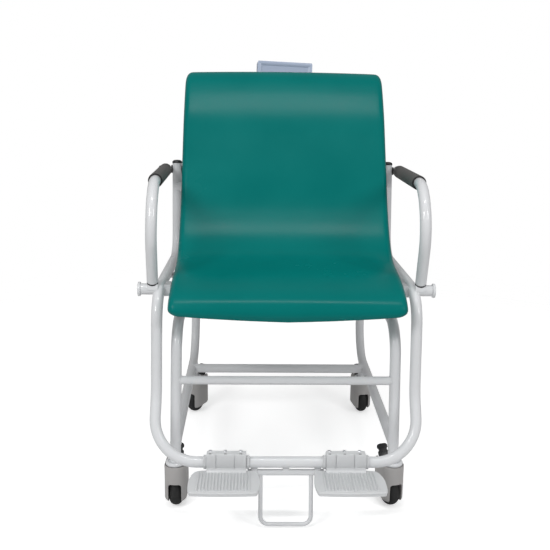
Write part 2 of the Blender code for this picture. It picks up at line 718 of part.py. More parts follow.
def build_side_tube(side, sign):
    """Upright and seat rail in one bent tube, with the plug in its top end."""
    path = bend_path([(sign * UPRIGHT_HALF, UPRIGHT_TOP_Y, UPRIGHT_TOP_Z),
                      (sign * UPRIGHT_HALF, upright_y(SIDE_RAIL_Z), SIDE_RAIL_Z),
                      (sign * RAIL_SPLIT_HALF, RAIL_SPLIT_Y + GAP, SIDE_RAIL_Z)], [UPRIGHT_BEND])
    side_tube = tube(f"side_tube_{side}", path, TUBE_R)
    cut(side_tube, rod(f"upright_bolt_hole_{side}",
                       (sign * (UPRIGHT_HALF - TUBE), upright_y(PIVOT_Z), PIVOT_Z),
                       (sign * (UPRIGHT_HALF + TUBE), upright_y(PIVOT_Z), PIVOT_Z),
                       outside(BOLT_R)))
    keep(side_tube, "white_powder_coat")
    dome = [(CAP_R * out, CAP_RISE * rise) for out, rise in CAP_DOME_SHARES]
    cap = turned(f"upright_cap_{side}", [*dome, (CAP_R, 0), (0, 0)], 20)
    lean = Vector((0, math.sin(UPRIGHT_LEAN), math.cos(UPRIGHT_LEAN)))
    cap.location = Vector((sign * UPRIGHT_HALF, UPRIGHT_TOP_Y, UPRIGHT_TOP_Z)) + lean * GAP
    cap.rotation_euler = along(lean)
    keep(cap, "dark_plastic")


def hoop_path():
    """Centre line of the front hoop, from one side rail round the foot bar to the other."""
    right = [Vector((RAIL_SPLIT_HALF, RAIL_SPLIT_Y - GAP, SIDE_RAIL_Z)),
             Vector((HOOP_TOP_HALF, HOOP_Y, SIDE_RAIL_Z)),
             Vector((HOOP_KNEE_HALF, HOOP_Y, HOOP_KNEE_Z)),
             Vector((FOOT_BAR_HALF, FOOT_BAR_Y, FOOT_BAR_Z))]
    radii = [HOOP_TOP_BEND, HOOP_KNEE_BEND, HOOP_LOW_BEND]
    return bend_path(right + mirrored(reversed(right)), radii + radii[::-1], 6)


def build_front_hoop():
    """The tube that comes down in front, carries the footplates and goes up again."""
    keep(tube("front_hoop", hoop_path(), TUBE_R), "white_powder_coat")


def build_stub(side, sign):
    """Flanged stub on the outside of the hoop."""
    end = STUB_END - STUB_START
    flange = end - FLANGE_WIDTH
    stub = turned(f"arm_stub_{side}", [
        (0, end), (FLANGE_R - FLANGE_ROUND, end), (FLANGE_R, end - FLANGE_ROUND),
        (FLANGE_R, flange + FLANGE_ROUND), (FLANGE_R - FLANGE_ROUND, flange), (TUBE_R, flange),
        (TUBE_R, 0), (0, 0)], 20)
    stub.location = (sign * STUB_START, STUB_Y, SIDE_RAIL_Z)
    stub.rotation_euler = along((sign, 0, 0))
    cut(stub, tube(f"stub_cope_{side}", hoop_path(), TUBE_R + GAP))
    keep(stub, "white_powder_coat")


def build_seat_bars():
    """Two flat bars under the side rails, the front one with an upturned lug at each end."""
    top = seat_bar_top()
    for name, middle in (("front_seat_bar", FRONT_SEAT_BAR_Y), ("rear_seat_bar", REAR_SEAT_BAR_Y)):
        front, rear = middle - SEAT_BAR_WIDTH / 2, middle + SEAT_BAR_WIDTH / 2
        bar = block(name, (-SEAT_BAR_HALF, front, top - SEAT_BAR_THICK), (SEAT_BAR_HALF, rear, top))
        if middle == FRONT_SEAT_BAR_Y:
            for side, sign in SIDES:
                low_x, high_x = sorted((sign * LUG_INNER, sign * (SEAT_BAR_HALF - WELD)))
                weld_on(bar, block(f"seat_lug_{side}", (low_x, front + WELD, top - SEAT_BAR_THICK / 2),
                                   (high_x, rear - WELD, top + LUG_RISE)))
                cut(bar, tube(f"lug_cope_{side}", [
                    (sign * side_rail_half(0), 0, SIDE_RAIL_Z),
                    (sign * RAIL_SPLIT_HALF, RAIL_SPLIT_Y, SIDE_RAIL_Z)], TUBE_R + GAP))
                cut(bar, tube(f"lug_hoop_cope_{side}", hoop_path(), TUBE_R + GAP))
        keep(bar, "white_powder_coat")


# Side line of the seat's upper face, as shares of its run and its rise
SEAT_LINE_SHARES = [
    (0.000, 0.000), (0.0035, 0.035), (0.0194, 0.0695), (0.053, 0.100), (0.111, 0.1245),
    (0.200, 0.1420), (0.300, 0.1530), (0.375, 0.1655), (0.435, 0.1890), (0.482, 0.2270),
    (0.517, 0.2740), (0.549, 0.3330), (0.6390, 0.5110), (0.7290, 0.6885), (0.8080, 0.8445),
    (0.8480, 0.9150), (0.8900, 0.9680), (0.9430, 0.9960), (1.000, 0.9900)]
LINE_STEPS = 2                 # stations laid between two points of the line


def smooth_line(points, each):
    """Points of a smooth curve through the given ones."""
    padded = [points[0] * 2 - points[1], *points, points[-1] * 2 - points[-2]]
    line = []
    for before, start, end, after in zip(padded, padded[1:], padded[2:], padded[3:]):
        for index in range(each):
            t = index / each
            line.append(0.5 * (2 * start + (end - before) * t
                               + (2 * before - 5 * start + 4 * end - after) * t ** 2
                               + (3 * start - before - 3 * end + after) * t ** 3))
    return [*line, points[-1]]


def raw_seat_line():
    """Upper face of the seat in the YZ plane, with the lip's bottom at height zero."""
    points = [Vector((SEAT_FRONT_Y + SEAT_RUN * run, SEAT_RISE * rise))
              for run, rise in SEAT_LINE_SHARES]
    return smooth_line(points, LINE_STEPS)


def inward_normals(line):
    """Unit normals that point into the cushion, down and to the rear."""
    normals = []
    for index in range(len(line)):
        tangent = (line[min(index + 1, len(line) - 1)] - line[max(index - 1, 0)]).normalized()
        normals.append(Vector((tangent.y, -tangent.x)))
    return normals


def offset_line(line, distance):
    return [point + normal * distance for point, normal in zip(line, inward_normals(line))]


def height_at(line, y):
    """Height of a line where it passes a given Y."""
    for start, end in zip(line, line[1:]):
        if start.x <= y <= end.x:
            return start.y + (end.y - start.y) * (y - start.x) / (end.x - start.x)
    raise ValueError("the seat does not reach this far")


def seat_line():
    """Upper face of the seat, resting through its shell on the front seat bar."""
    line = raw_seat_line()
    underside = offset_line(line, SEAT_THICK + GAP + SHELL_THICK)
    rest = height_at(underside[SHELL_FIRST:], FRONT_SEAT_BAR_Y - SEAT_BAR_WIDTH / 2)
    lift = Vector((0, seat_bar_top() + GAP - rest))
    return [point + lift for point in line]


SHELL_FIRST = 4 * LINE_STEPS        # first and last stations that the shell backs
SHELL_LAST = 14 * LINE_STEPS
SECTION_STEPS = 5                   # points across each half of the crown


def cushion_section(half, thick, crown):
    """Points round half a section, from the middle of the upper face to the middle below."""
    points = []
    flat = half - SEAT_EDGE
    for index in range(SECTION_STEPS):
        x = flat * index / (SECTION_STEPS - 1)
        points.append((x, -crown * (1 - (x / half) ** 2)))
    points += [(half - SEAT_EDGE * draw, thick * depth) for draw, depth in SEAT_SIDE_SHARES]
    return [*points, (0, thick)]


def build_cushion():
    """The moulded seat: crowned, with drawn-in sides, a rolled top and a drooping front lip."""
    line = seat_line()
    normals = inward_normals(line)
    count = len(line)
    shape = bmesh.new()
    rings = []
    for index, (point, normal) in enumerate(zip(line, normals)):
        share = index / (count - 1)
        half = SEAT_FRONT_HALF + (SEAT_TOP_HALF - SEAT_FRONT_HALF) * share
        near = min(index, count - 1 - index)
        slim, pull = SEAT_END_SHARES[near] if near < len(SEAT_END_SHARES) else (1, 0)
        half -= SEAT_CORNER * pull
        inset = SEAT_THICK * (1 - slim) / 2
        bow = -SEAT_END_BOW * max(0, 1 - index / BOW_FRONT_RINGS)
        if share > BOW_TOP_SHARE:
            bow = SEAT_TOP_BOW
        half_ring = cushion_section(half, SEAT_THICK * slim, SEAT_CROWN)
        ring_points = half_ring + [(-x, depth) for x, depth in reversed(half_ring[1:-1])]
        ring = []
        for x, depth in ring_points:
            place = point + normal * (depth + inset)
            lift = bow * (1 - (x / half) ** 2)
            ring.append(shape.verts.new((x, place.x, place.y + lift)))
        rings.append(ring)
    size = len(rings[0])
    for first, second in zip(rings, rings[1:]):
        for index in range(size):
            after = (index + 1) % size
            shape.faces.new((first[index], first[after], second[after], second[index]))
    shape.faces.new(rings[0])
    shape.faces.new(list(reversed(rings[-1])))
    keep(from_bmesh("seat_cushion", shape), "teal_skin")


def build_shell():
    """Pressed shell that backs the cushion from the seat bar up the back."""
    line = seat_line()
    upper = offset_line(line, SEAT_THICK + GAP)[SHELL_FIRST:SHELL_LAST]
    lower = offset_line(line, SEAT_THICK + GAP + SHELL_THICK)[SHELL_FIRST:SHELL_LAST]
    outline = [(point.x, point.y) for point in upper + lower[::-1]]
    shell = slab("seat_shell", outline, SHELL_HALF * 2)
    move_mesh(shell, Matrix(((0, 0, 1, 0), (1, 0, 0, 0), (0, 1, 0, 0), (0, 0, 0, 1))))
    keep(shell, "shell_steel")


def back_plane():
    """Point and slope of the shell's rear face at the height of the back bow."""
    rear = offset_line(seat_line(), SEAT_THICK + GAP + SHELL_THICK)[SHELL_FIRST:SHELL_LAST]
    for start, end in zip(rear, rear[1:]):
        if start.y <= BOW_Z < end.y:
            run = (end - start).normalized()
            point = start + run * ((BOW_Z - start.y) / run.y)
            return point, run
    raise ValueError("the back bow misses the shell")


def bow_centre_y():
    """Y of the bow's middle stretch, which carries its plate against the shell."""
    point, run = back_plane()
    return point.x + (GAP + BOW_PLATE_THICK + TUBE_R - BOW_PLATE_BITE) / run.y


def build_back_bow():
    """Bent tube from upright to upright behind the back, with its bolting plate."""
    end = Vector((UPRIGHT_HALF, upright_y(BOW_Z), BOW_Z))
    right = [end, Vector((BOW_HALF, bow_centre_y(), BOW_Z))]
    bow = tube("back_bow", bend_path(right + mirrored(reversed(right)), [BOW_BEND] * 2), TUBE_R)
    point, run = back_plane()
    plate = block("back_bow_plate", (-BOW_PLATE_WIDTH / 2, -BOW_PLATE_HEIGHT / 2, 0),
                  (BOW_PLATE_WIDTH / 2, BOW_PLATE_HEIGHT / 2, BOW_PLATE_THICK))
    normal = Vector((0, run.y, -run.x))
    middle = Vector((0, bow_centre_y(), BOW_Z)) - normal * (TUBE_R - BOW_PLATE_BITE + BOW_PLATE_THICK)
    turn = Matrix((Vector((1, 0, 0)), Vector((0, run.x, run.y)), normal)).transposed().to_4x4()
    move_mesh(plate, Matrix.Translation(middle) @ turn)
    weld_on(bow, plate)
    for sign in (-1, 1):
        cope(bow, (sign * UPRIGHT_HALF, upright_y(BOW_Z - TUBE), BOW_Z - TUBE),
             (sign * UPRIGHT_HALF, upright_y(BOW_Z + TUBE), BOW_Z + TUBE), TUBE_R)
    keep(bow, "white_powder_coat")


def build_pole():
    """Post that carries the display behind the top of the back."""
    start = (0, bow_centre_y(), BOW_Z)
    top = DISPLAY_Z - HEAD_DROP - HEAD_HEIGHT - GAP
    path = bend_path([start, (0, DISPLAY_Y, POLE_KNEE_Z), (0, DISPLAY_Y, top)], [POLE_BEND])
    pole = tube("display_pole", path, POLE_R, 3)
    cope(pole, (-POLE_R, *start[1:]), (POLE_R, *start[1:]), TUBE_R)
    flat = HEAD_R * 2
    cut(pole, block("pole_top_cut", (-flat, DISPLAY_Y - flat, top - GAP), (flat, DISPLAY_Y + flat,
                                                                        top + flat)))
    keep(pole, "white_powder_coat")


SIDES = (("left", -1), ("right", 1))


def arm_corners(sign):
    """Tail, front corner and foot of an arm's centre line."""
    pivot = Vector((sign * PIVOT_HALF, upright_y(PIVOT_Z), PIVOT_Z))
    corner_y = pivot.y - GRIP_REAR - GRIP_LENGTH - ARM_NOSE
    corner = Vector((sign * ARM_CORNER_HALF, corner_y, ARM_CORNER_Z))
    foot = Vector((sign * ARM_FOOT_HALF, STUB_Y, SIDE_RAIL_Z + ARM_FOOT_RISE))
    return pivot, corner, foot


def build_arm(side, sign):
    """Arm tube, its foam grip, the rubber saddle at its foot and the shouldered pivot bolt."""
    pivot, corner, foot = arm_corners(sign)
    run = (corner - pivot).normalized()
    arm = tube(f"arm_{side}", bend_path([pivot - run * ARM_TAIL, corner, foot], [ARM_BEND], 10), TUBE_R)
    across = Vector((TUBE, 0, 0))
    cut(arm, rod(f"arm_bolt_hole_{side}", pivot - across, pivot + across, outside(BOLT_R)))
    keep(arm, "white_powder_coat")

    inner = outside(TUBE_R, 20)
    grip = turned(f"arm_grip_{side}", [
        (inner, GRIP_LENGTH), (GRIP_R - GRIP_ROUND, GRIP_LENGTH), (GRIP_R, GRIP_LENGTH - GRIP_ROUND),
        (GRIP_R, GRIP_ROUND), (GRIP_R - GRIP_ROUND, 0), (inner, 0)])
    grip.location = pivot + run * GRIP_REAR
    grip.rotation_euler = along(run)
    keep(grip, "grey_foam")

    fall = (foot - corner).normalized()
    saddle_top = foot + fall * GAP
    drop = (saddle_top.z - SIDE_RAIL_Z - SADDLE_LOW) / -fall.z
    saddle = rod(f"arm_saddle_{side}", saddle_top, saddle_top + fall * drop, TUBE_R, 20)
    cope(saddle, (sign * STUB_START, STUB_Y, SIDE_RAIL_Z), (sign * STUB_END, STUB_Y, SIDE_RAIL_Z), TUBE_R)
    cut(saddle, tube(f"saddle_hoop_cope_{side}", hoop_path(), TUBE_R + GAP))
    cut(saddle, block(f"saddle_foot_cut_{side}",
                      (sign * ARM_FOOT_HALF - TUBE, STUB_Y - TUBE, SIDE_RAIL_Z - TUBE),
                      (sign * ARM_FOOT_HALF + TUBE, STUB_Y + TUBE, SIDE_RAIL_Z + SADDLE_LOW)))
    keep(saddle, "black_rubber")

    upright_in, upright_out = UPRIGHT_HALF - TUBE_R - GAP, UPRIGHT_HALF + TUBE_R + GAP
    toe_in = abs(run.x / run.y)
    arm_in = PIVOT_HALF - TUBE_R - GAP - toe_in * BUSH_R
    arm_out = PIVOT_HALF + TUBE_R + GAP + toe_in * BOLT_HEAD_R
    head_in, head_out = upright_in - BOLT_HEAD, arm_out + BOLT_HEAD
    bolt = turned(f"arm_pivot_{side}", [
        (0, head_out), (BOLT_FACE_R, head_out), (BOLT_HEAD_R, arm_out + BOLT_HEAD / 2),
        (BOLT_HEAD_R, arm_out), (BOLT_R, arm_out), (BOLT_R, arm_in), (BUSH_R, arm_in),
        (BUSH_R, upright_out), (BOLT_R, upright_out), (BOLT_R, upright_in),
        (BOLT_HEAD_R, upright_in), (BOLT_HEAD_R, upright_in - BOLT_HEAD / 2),
        (BOLT_FACE_R, head_in), (0, head_in)], 14)
    bolt.location = (0, pivot.y, pivot.z)
    bolt.rotation_euler = along((sign, 0, 0))
    keep(bolt, "dark_plastic")


def leaf_outline():
    """Front half of the hinge block round the foot bar, in (Y, Z) from the bar's axis."""
    return [(-GAP, CLAMP_TOP), (-CLAMP_TOP_DEPTH, CLAMP_TOP), (-CLAMP_FRONT, CLAMP_TOP - CLAMP_LOW / 4),
            (-CLAMP_FRONT, -RAMP_TOP_Z), (-RAMP_FRONT, -RAMP_Z),
            (-RAMP_FRONT, -RAMP_Z - PLATE_THICK / 2), (-PLATE_REAR, -PLATE_DROP - PLATE_THICK / 2),
            (-GAP, -CLAMP_LOW)]


def clamp_outline():
    """Rear half of the hinge block."""
    return [(GAP, CLAMP_TOP), (CLAMP_TOP_DEPTH, CLAMP_TOP), (CLAMP_REAR, CLAMP_TOP - CLAMP_LOW / 4),
            (CLAMP_REAR, -CLAMP_LOW / 2), (CLAMP_TOP_DEPTH, -CLAMP_LOW), (GAP, -CLAMP_LOW)]


YZ_TO_FRAME = Matrix(((0, 0, 1, 0), (1, 0, 0, 0), (0, 1, 0, 0), (0, 0, 0, 1)))


def build_footplate(side, sign):
    """Folding footplate with its hinge leaf, and the clamp half behind the bar."""
    hinge = frame_empty(f"footplate_hinge_{side}", (sign * PLATE_HALF_SPACING, FOOT_BAR_Y, FOOT_BAR_Z),
                        stand)
    outer = sign * (PLATE_OUTER - PLATE_HALF_SPACING)
    inner = sign * (PLATE_INNER - PLATE_HALF_SPACING)
    inner_front = sign * (PLATE_INNER_FRONT - PLATE_HALF_SPACING)
    front = -PLATE_REAR - PLATE_DEPTH
    corners = [(outer, -PLATE_REAR), (outer, front),
               ((outer + inner) / 2, front - PLATE_SKEW / 2 - PLATE_BOW),
               (inner_front, front - PLATE_SKEW), (inner, -PLATE_REAR)]
    radii = [PLATE_OUTER_ROUND, PLATE_ROUND, PLATE_DEPTH, PLATE_ROUND * 2, PLATE_ROUND]
    plate = slab(f"footplate_{side}", rounded_outline(corners, radii), PLATE_THICK, PLATE_EDGE)
    rear_edge = Vector((0, -PLATE_REAR, 0))
    tilt = (Matrix.Translation(rear_edge + Vector((0, 0, -PLATE_DROP)))
            @ Matrix.Rotation(-PLATE_TILT, 4, "X")
            @ Matrix.Translation(-rear_edge - Vector((0, 0, PLATE_THICK / 2))))
    move_mesh(plate, tilt)
    leaf = slab(f"leaf_{side}", leaf_outline(), LEAF_WIDTH)
    move_mesh(leaf, YZ_TO_FRAME)
    weld_on(plate, leaf, hinge)
    reach = LEAF_WIDTH / 2 + OVERRUN
    bore = outside(TUBE_R, 20)
    cut(plate, rod(f"leaf_bore_{side}", (-reach, 0, 0), (reach, 0, 0), bore, 20), hinge)
    keep(plate, "footplate_plastic", hinge)
    clamp = slab(f"footplate_clamp_{side}", clamp_outline(), LEAF_WIDTH)
    move_mesh(clamp, YZ_TO_FRAME)
    cut(clamp, rod(f"clamp_bore_{side}", (-reach, 0, 0), (reach, 0, 0), bore, 20), hinge)
    keep(clamp, "footplate_plastic", hinge)
    for place, step in (("inner", -sign), ("outer", sign)):
        ring = turned(f"footrest_collar_{side}_{place}", [
            (bore, COLLAR_RING_WIDTH / 2), (COLLAR_RING_R, COLLAR_RING_WIDTH / 2),
            (COLLAR_RING_R, -COLLAR_RING_WIDTH / 2), (bore, -COLLAR_RING_WIDTH / 2)])
        middle = LEAF_WIDTH / 2 + GAP + COLLAR_RING_WIDTH / 2
        ring.location = (sign * PLATE_HALF_SPACING + step * middle, FOOT_BAR_Y, FOOT_BAR_Z)
        ring.rotation_euler = (0, math.pi / 2, 0)
        keep(ring, "footplate_plastic")


def build_tip_guard():
    """Bar and loop below the foot bar, which stop the scale from tipping forwards."""
    guard = rod("tip_guard", (-GUARD_BAR_HALF, GUARD_BAR_Y, GUARD_BAR_Z),
                (GUARD_BAR_HALF, GUARD_BAR_Y, GUARD_BAR_Z), GUARD_BAR_R, 12)
    loop = bend_path([(GUARD_HALF, GUARD_BAR_Y, GUARD_BAR_Z), (GUARD_HALF, GUARD_LOW_Y, GUARD_LOW_Z),
                      (-GUARD_HALF, GUARD_LOW_Y, GUARD_LOW_Z), (-GUARD_HALF, GUARD_BAR_Y, GUARD_BAR_Z)],
                     [GUARD_BEND] * 2, 6)
    weld_on(guard, tube("guard_loop", loop, GUARD_ROD_R, 2))
    top = FOOT_BAR_Z - TUBE_R - GAP
    half_wide, half_thick = GUARD_TAB_WIDTH / 2, GUARD_TAB_THICK / 2
    middle_y = (GUARD_BAR_Y + FOOT_BAR_Y) / 2
    for step in (-1, 0, 1):
        middle = step * GUARD_TAB_OUT
        weld_on(guard, block(f"guard_tab_{step}", (middle - half_wide, middle_y - half_thick, GUARD_BAR_Z),
                             (middle + half_wide, middle_y + half_thick, top)))
    keep(guard, "white_powder_coat")


def housing(name, front, rear, parent):
    """A rounded slice of the display's housing between two depths."""
    low = -DISPLAY_HEIGHT + DISPLAY_UP
    outline = rounded_outline([(-DISPLAY_WIDTH / 2, low), (DISPLAY_WIDTH / 2, low),
                               (DISPLAY_WIDTH / 2, DISPLAY_UP), (-DISPLAY_WIDTH / 2, DISPLAY_UP)],
                              [DISPLAY_EDGE] * 4, 2)
    piece = slab(name, outline, rear - front)
    stand_up = Matrix(((1, 0, 0, 0), (0, 0, -1, (front + rear) / 2), (0, 1, 0, 0), (0, 0, 0, 1)))
    return move_mesh(piece, stand_up)


def build_display():
    """Tilting display: two shells, lens, keys, board and the head on the pole."""
    mount = frame_empty("display_mount", (0, DISPLAY_Y, DISPLAY_Z), stand)
    mount.rotation_euler = (0, DISPLAY_ROLL, DISPLAY_YAW)
    tilt = frame_empty("display_tilt", (0, 0, 0), mount)
    tilt.rotation_euler = (-DISPLAY_LEAN, 0, 0)
    back, front = -DISPLAY_BACK, -DISPLAY_BACK - DISPLAY_DEPTH
    parting = front + DISPLAY_PARTING
    side, top = DISPLAY_WIDTH / 2 - DISPLAY_WALL, DISPLAY_UP - DISPLAY_WALL
    low = DISPLAY_UP - DISPLAY_HEIGHT + DISPLAY_WALL

    front_shell = housing("display_front_shell", front, parting, tilt)
    cut(front_shell, block("front_cavity", (-side, front + DISPLAY_WALL, low),
                           (side, parting + OVERRUN, top)), tilt)
    lens_z = DISPLAY_UP - LENS_DROP
    cut(front_shell, block("lens_opening", (-LENS_WIDTH / 2 - GAP, front - OVERRUN,
                                            lens_z - LENS_HEIGHT / 2 - GAP),
                           (LENS_WIDTH / 2 + GAP, front + OVERRUN, lens_z + LENS_HEIGHT / 2 + GAP)), tilt)
    key_z = DISPLAY_UP - KEY_DROP
    board_front = front + BOARD_DEPTH
    for index in range(KEY_COUNT):
        middle = (index - (KEY_COUNT - 1) / 2) * KEY_PITCH
        low_corner = (middle - KEY_WIDTH / 2, front - KEY_PROUD, key_z - KEY_HEIGHT / 2)
        high_corner = (middle + KEY_WIDTH / 2, front + KEY_STEM, key_z + KEY_HEIGHT / 2)
        cut(front_shell, block(f"key_opening_{index + 1}",
                               (low_corner[0] - GAP, front - OVERRUN, low_corner[2] - GAP),
                               (high_corner[0] + GAP, front + OVERRUN, high_corner[2] + GAP)), tilt)
        keep(block(f"display_key_{index + 1}", low_corner, high_corner), "key_plastic", tilt)
    keep(front_shell, "display_plastic", tilt)
    keep(block("display_lens", (-LENS_WIDTH / 2, front + LENS_RECESS, lens_z - LENS_HEIGHT / 2),
               (LENS_WIDTH / 2, front + LENS_RECESS + LENS_THICK, lens_z + LENS_HEIGHT / 2)),
         "display_window", tilt)

    rear_shell = housing("display_rear_shell", parting + GAP, back, tilt)
    cut(rear_shell, block("rear_cavity", (-side, parting - OVERRUN, low), (side, back - DISPLAY_WALL,
                                                                       top)), tilt)
    ear_in = TONGUE_THICK / 2 + GAP
    for ear, sign in SIDES:
        near, far = sorted((sign * ear_in, sign * (ear_in + EAR_THICK)))
        weld_on(rear_shell, block(f"display_ear_{ear}", (near, back - DISPLAY_WALL / 2, -EAR_REACH),
                                  (far, EAR_REACH, EAR_REACH)), tilt)
    pin_half = ear_in + EAR_THICK / 2
    weld_on(rear_shell, rod("display_pin", (-pin_half, 0, 0), (pin_half, 0, 0), PIN_R, 12), tilt)
    keep(rear_shell, "display_plastic", tilt)

    board_low = (low + top) / 2 - BOARD_HEIGHT / 2
    board = block("display_board", (-BOARD_WIDTH / 2, board_front, board_low),
                  (BOARD_WIDTH / 2, board_front + BOARD_THICK, board_low + BOARD_HEIGHT))
    for column, x_sign in SIDES:
        for row, z_sign in (("low", 0), ("high", 1)):
            x = x_sign * (BOARD_WIDTH / 2 - BOSS_R * 2)
            z = board_low + BOSS_R * 2 + z_sign * (BOARD_HEIGHT - BOSS_R * 4)
            weld_on(board, rod(f"board_boss_{column}_{row}", (x, board_front + BOARD_THICK / 2, z),
                               (x, back - DISPLAY_WALL - GAP, z), BOSS_R, 10), tilt)
    keep(board, "circuit_board", tilt)

    head_top = -HEAD_DROP
    head = turned("display_head", [(0, head_top), (HEAD_R, head_top), (HEAD_R, head_top - HEAD_HEIGHT),
                                   (0, head_top - HEAD_HEIGHT)])
    head.location = (0, DISPLAY_Y, DISPLAY_Z)
    tongue_low = -HEAD_DROP - HEAD_HEIGHT / 2
    tongue = rounded_outline([(-TONGUE_HALF, tongue_low), (TONGUE_HALF, tongue_low),
                              (TONGUE_HALF, TONGUE_HALF), (-TONGUE_HALF, TONGUE_HALF)],
                             [0, 0, TONGUE_ROUND, TONGUE_ROUND])
    tongue_piece = move_mesh(slab("display_tongue", tongue, TONGUE_THICK), YZ_TO_FRAME)
    weld_on(head, tongue_piece, mount)
    cut(head, rod("display_pin_hole", (-TONGUE_THICK, 0, 0), (TONGUE_THICK, 0, 0),
                  outside(PIN_R + PIN_PLAY)), mount)
    keep(head, "dark_plastic")


def build_all():
    """Make every piece of the scale."""
    for side, sign in SIDES:
        build_side_frame(side, sign)
        build_side_tube(side, sign)
        build_stub(side, sign)
        build_arm(side, sign)
        build_footplate(side, sign)
    build_crossbars()
    build_weighing_unit()
    front_x = base_half(CASTOR_HEIGHT)
    build_castor("front_left", -front_x, FRONT_LEG_Y, LEFT_CASTOR_TURN)
    build_castor("front_right", front_x, FRONT_LEG_Y, RIGHT_CASTOR_TURN)
    build_castor("rear_left", -BASE_HALF, REAR_SWIVEL_Y, REAR_LEFT_TURN)
    build_castor("rear_right", BASE_HALF, REAR_SWIVEL_Y, REAR_RIGHT_TURN)
    build_front_hoop()
    build_seat_bars()
    build_cushion()
    build_shell()
    build_back_bow()
    build_pole()
    build_tip_guard()
    build_display()


build_all()
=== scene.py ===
"""Looks of a digital chair scale, laid round its fixed frame.

Metres, +Z up. The sitter looks along -Y, and left is -X, as seen from the front.
"""
import json
import math

import bmesh
import bpy
from bpy.props import FloatProperty, FloatVectorProperty, IntProperty
from mathutils import Matrix, Vector


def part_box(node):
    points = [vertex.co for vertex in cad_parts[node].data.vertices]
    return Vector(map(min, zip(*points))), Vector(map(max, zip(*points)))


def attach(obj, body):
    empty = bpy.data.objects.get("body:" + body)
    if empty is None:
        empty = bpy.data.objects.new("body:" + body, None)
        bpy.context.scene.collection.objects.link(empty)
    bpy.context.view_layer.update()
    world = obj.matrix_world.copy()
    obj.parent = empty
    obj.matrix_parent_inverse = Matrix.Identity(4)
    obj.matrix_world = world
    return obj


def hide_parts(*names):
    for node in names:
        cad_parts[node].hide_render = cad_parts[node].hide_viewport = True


bl_info = {
    "name": "Digital Chair Scale",
    "version": (1, 0, 0),
    "blender": (4, 5, 0),
    "location": "View3D > Sidebar > Chair Scale",
    "description": "Models and finishes a digital chair scale round its fixed frame",
    "category": "Add Mesh",
}

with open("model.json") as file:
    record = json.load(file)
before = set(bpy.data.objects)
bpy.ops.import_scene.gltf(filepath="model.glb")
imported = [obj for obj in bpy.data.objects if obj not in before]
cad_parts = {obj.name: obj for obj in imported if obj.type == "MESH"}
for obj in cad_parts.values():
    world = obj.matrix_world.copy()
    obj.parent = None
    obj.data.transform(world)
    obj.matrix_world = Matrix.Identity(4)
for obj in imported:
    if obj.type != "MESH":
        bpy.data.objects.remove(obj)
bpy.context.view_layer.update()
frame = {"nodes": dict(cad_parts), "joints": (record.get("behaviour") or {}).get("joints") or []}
NODES = frame["nodes"]
JOINTS = {joint["name"]: joint for joint in frame["joints"]}
SIDES = (("left", -1), ("right", 1))
CORNERS = ("front_left", "front_right", "rear_left", "rear_right")
MERGE = 0.00001                # corners closer than this become one
FIT = 0.0003                   # left between pieces that touch
OVERLAP = 0.001                # that a piece reaches into the one it is joined to
OVERRUN = 0.004                # that a cutter runs past the piece
BEAD_SHARE = 0.98              # of a tube's radius, so that a bead's circle meets a like tube
MATERIALS = {}


def joint_point(name):
    return Vector(JOINTS[name]["pos_m"])


FOOT_BAR = joint_point("footplate_fold_left")
ARM_PIVOT = joint_point("arm_lift_right")
STUB_LOW, STUB_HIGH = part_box("arm_stub_right")
RAIL_Z = (STUB_LOW.z + STUB_HIGH.z) / 2


def length(name, description, default):
    """A size in metres that a user can change."""
    return FloatProperty(name=name, description=description, default=default, unit="LENGTH",
                         precision=4, min=0)


def angle(name, description, degrees):
    """A slope or lean that a user can change."""
    return FloatProperty(name=name, description=description, default=math.radians(degrees),
                         subtype="ANGLE")


def count(name, description, default):
    """A number of repeats that a user can change."""
    return IntProperty(name=name, description=description, default=default, min=1)


def tone(name, description, default):
    """A colour that a user can change."""
    return FloatVectorProperty(name=name, description=description, default=default, size=3,
                               subtype="COLOR", min=0, max=1)


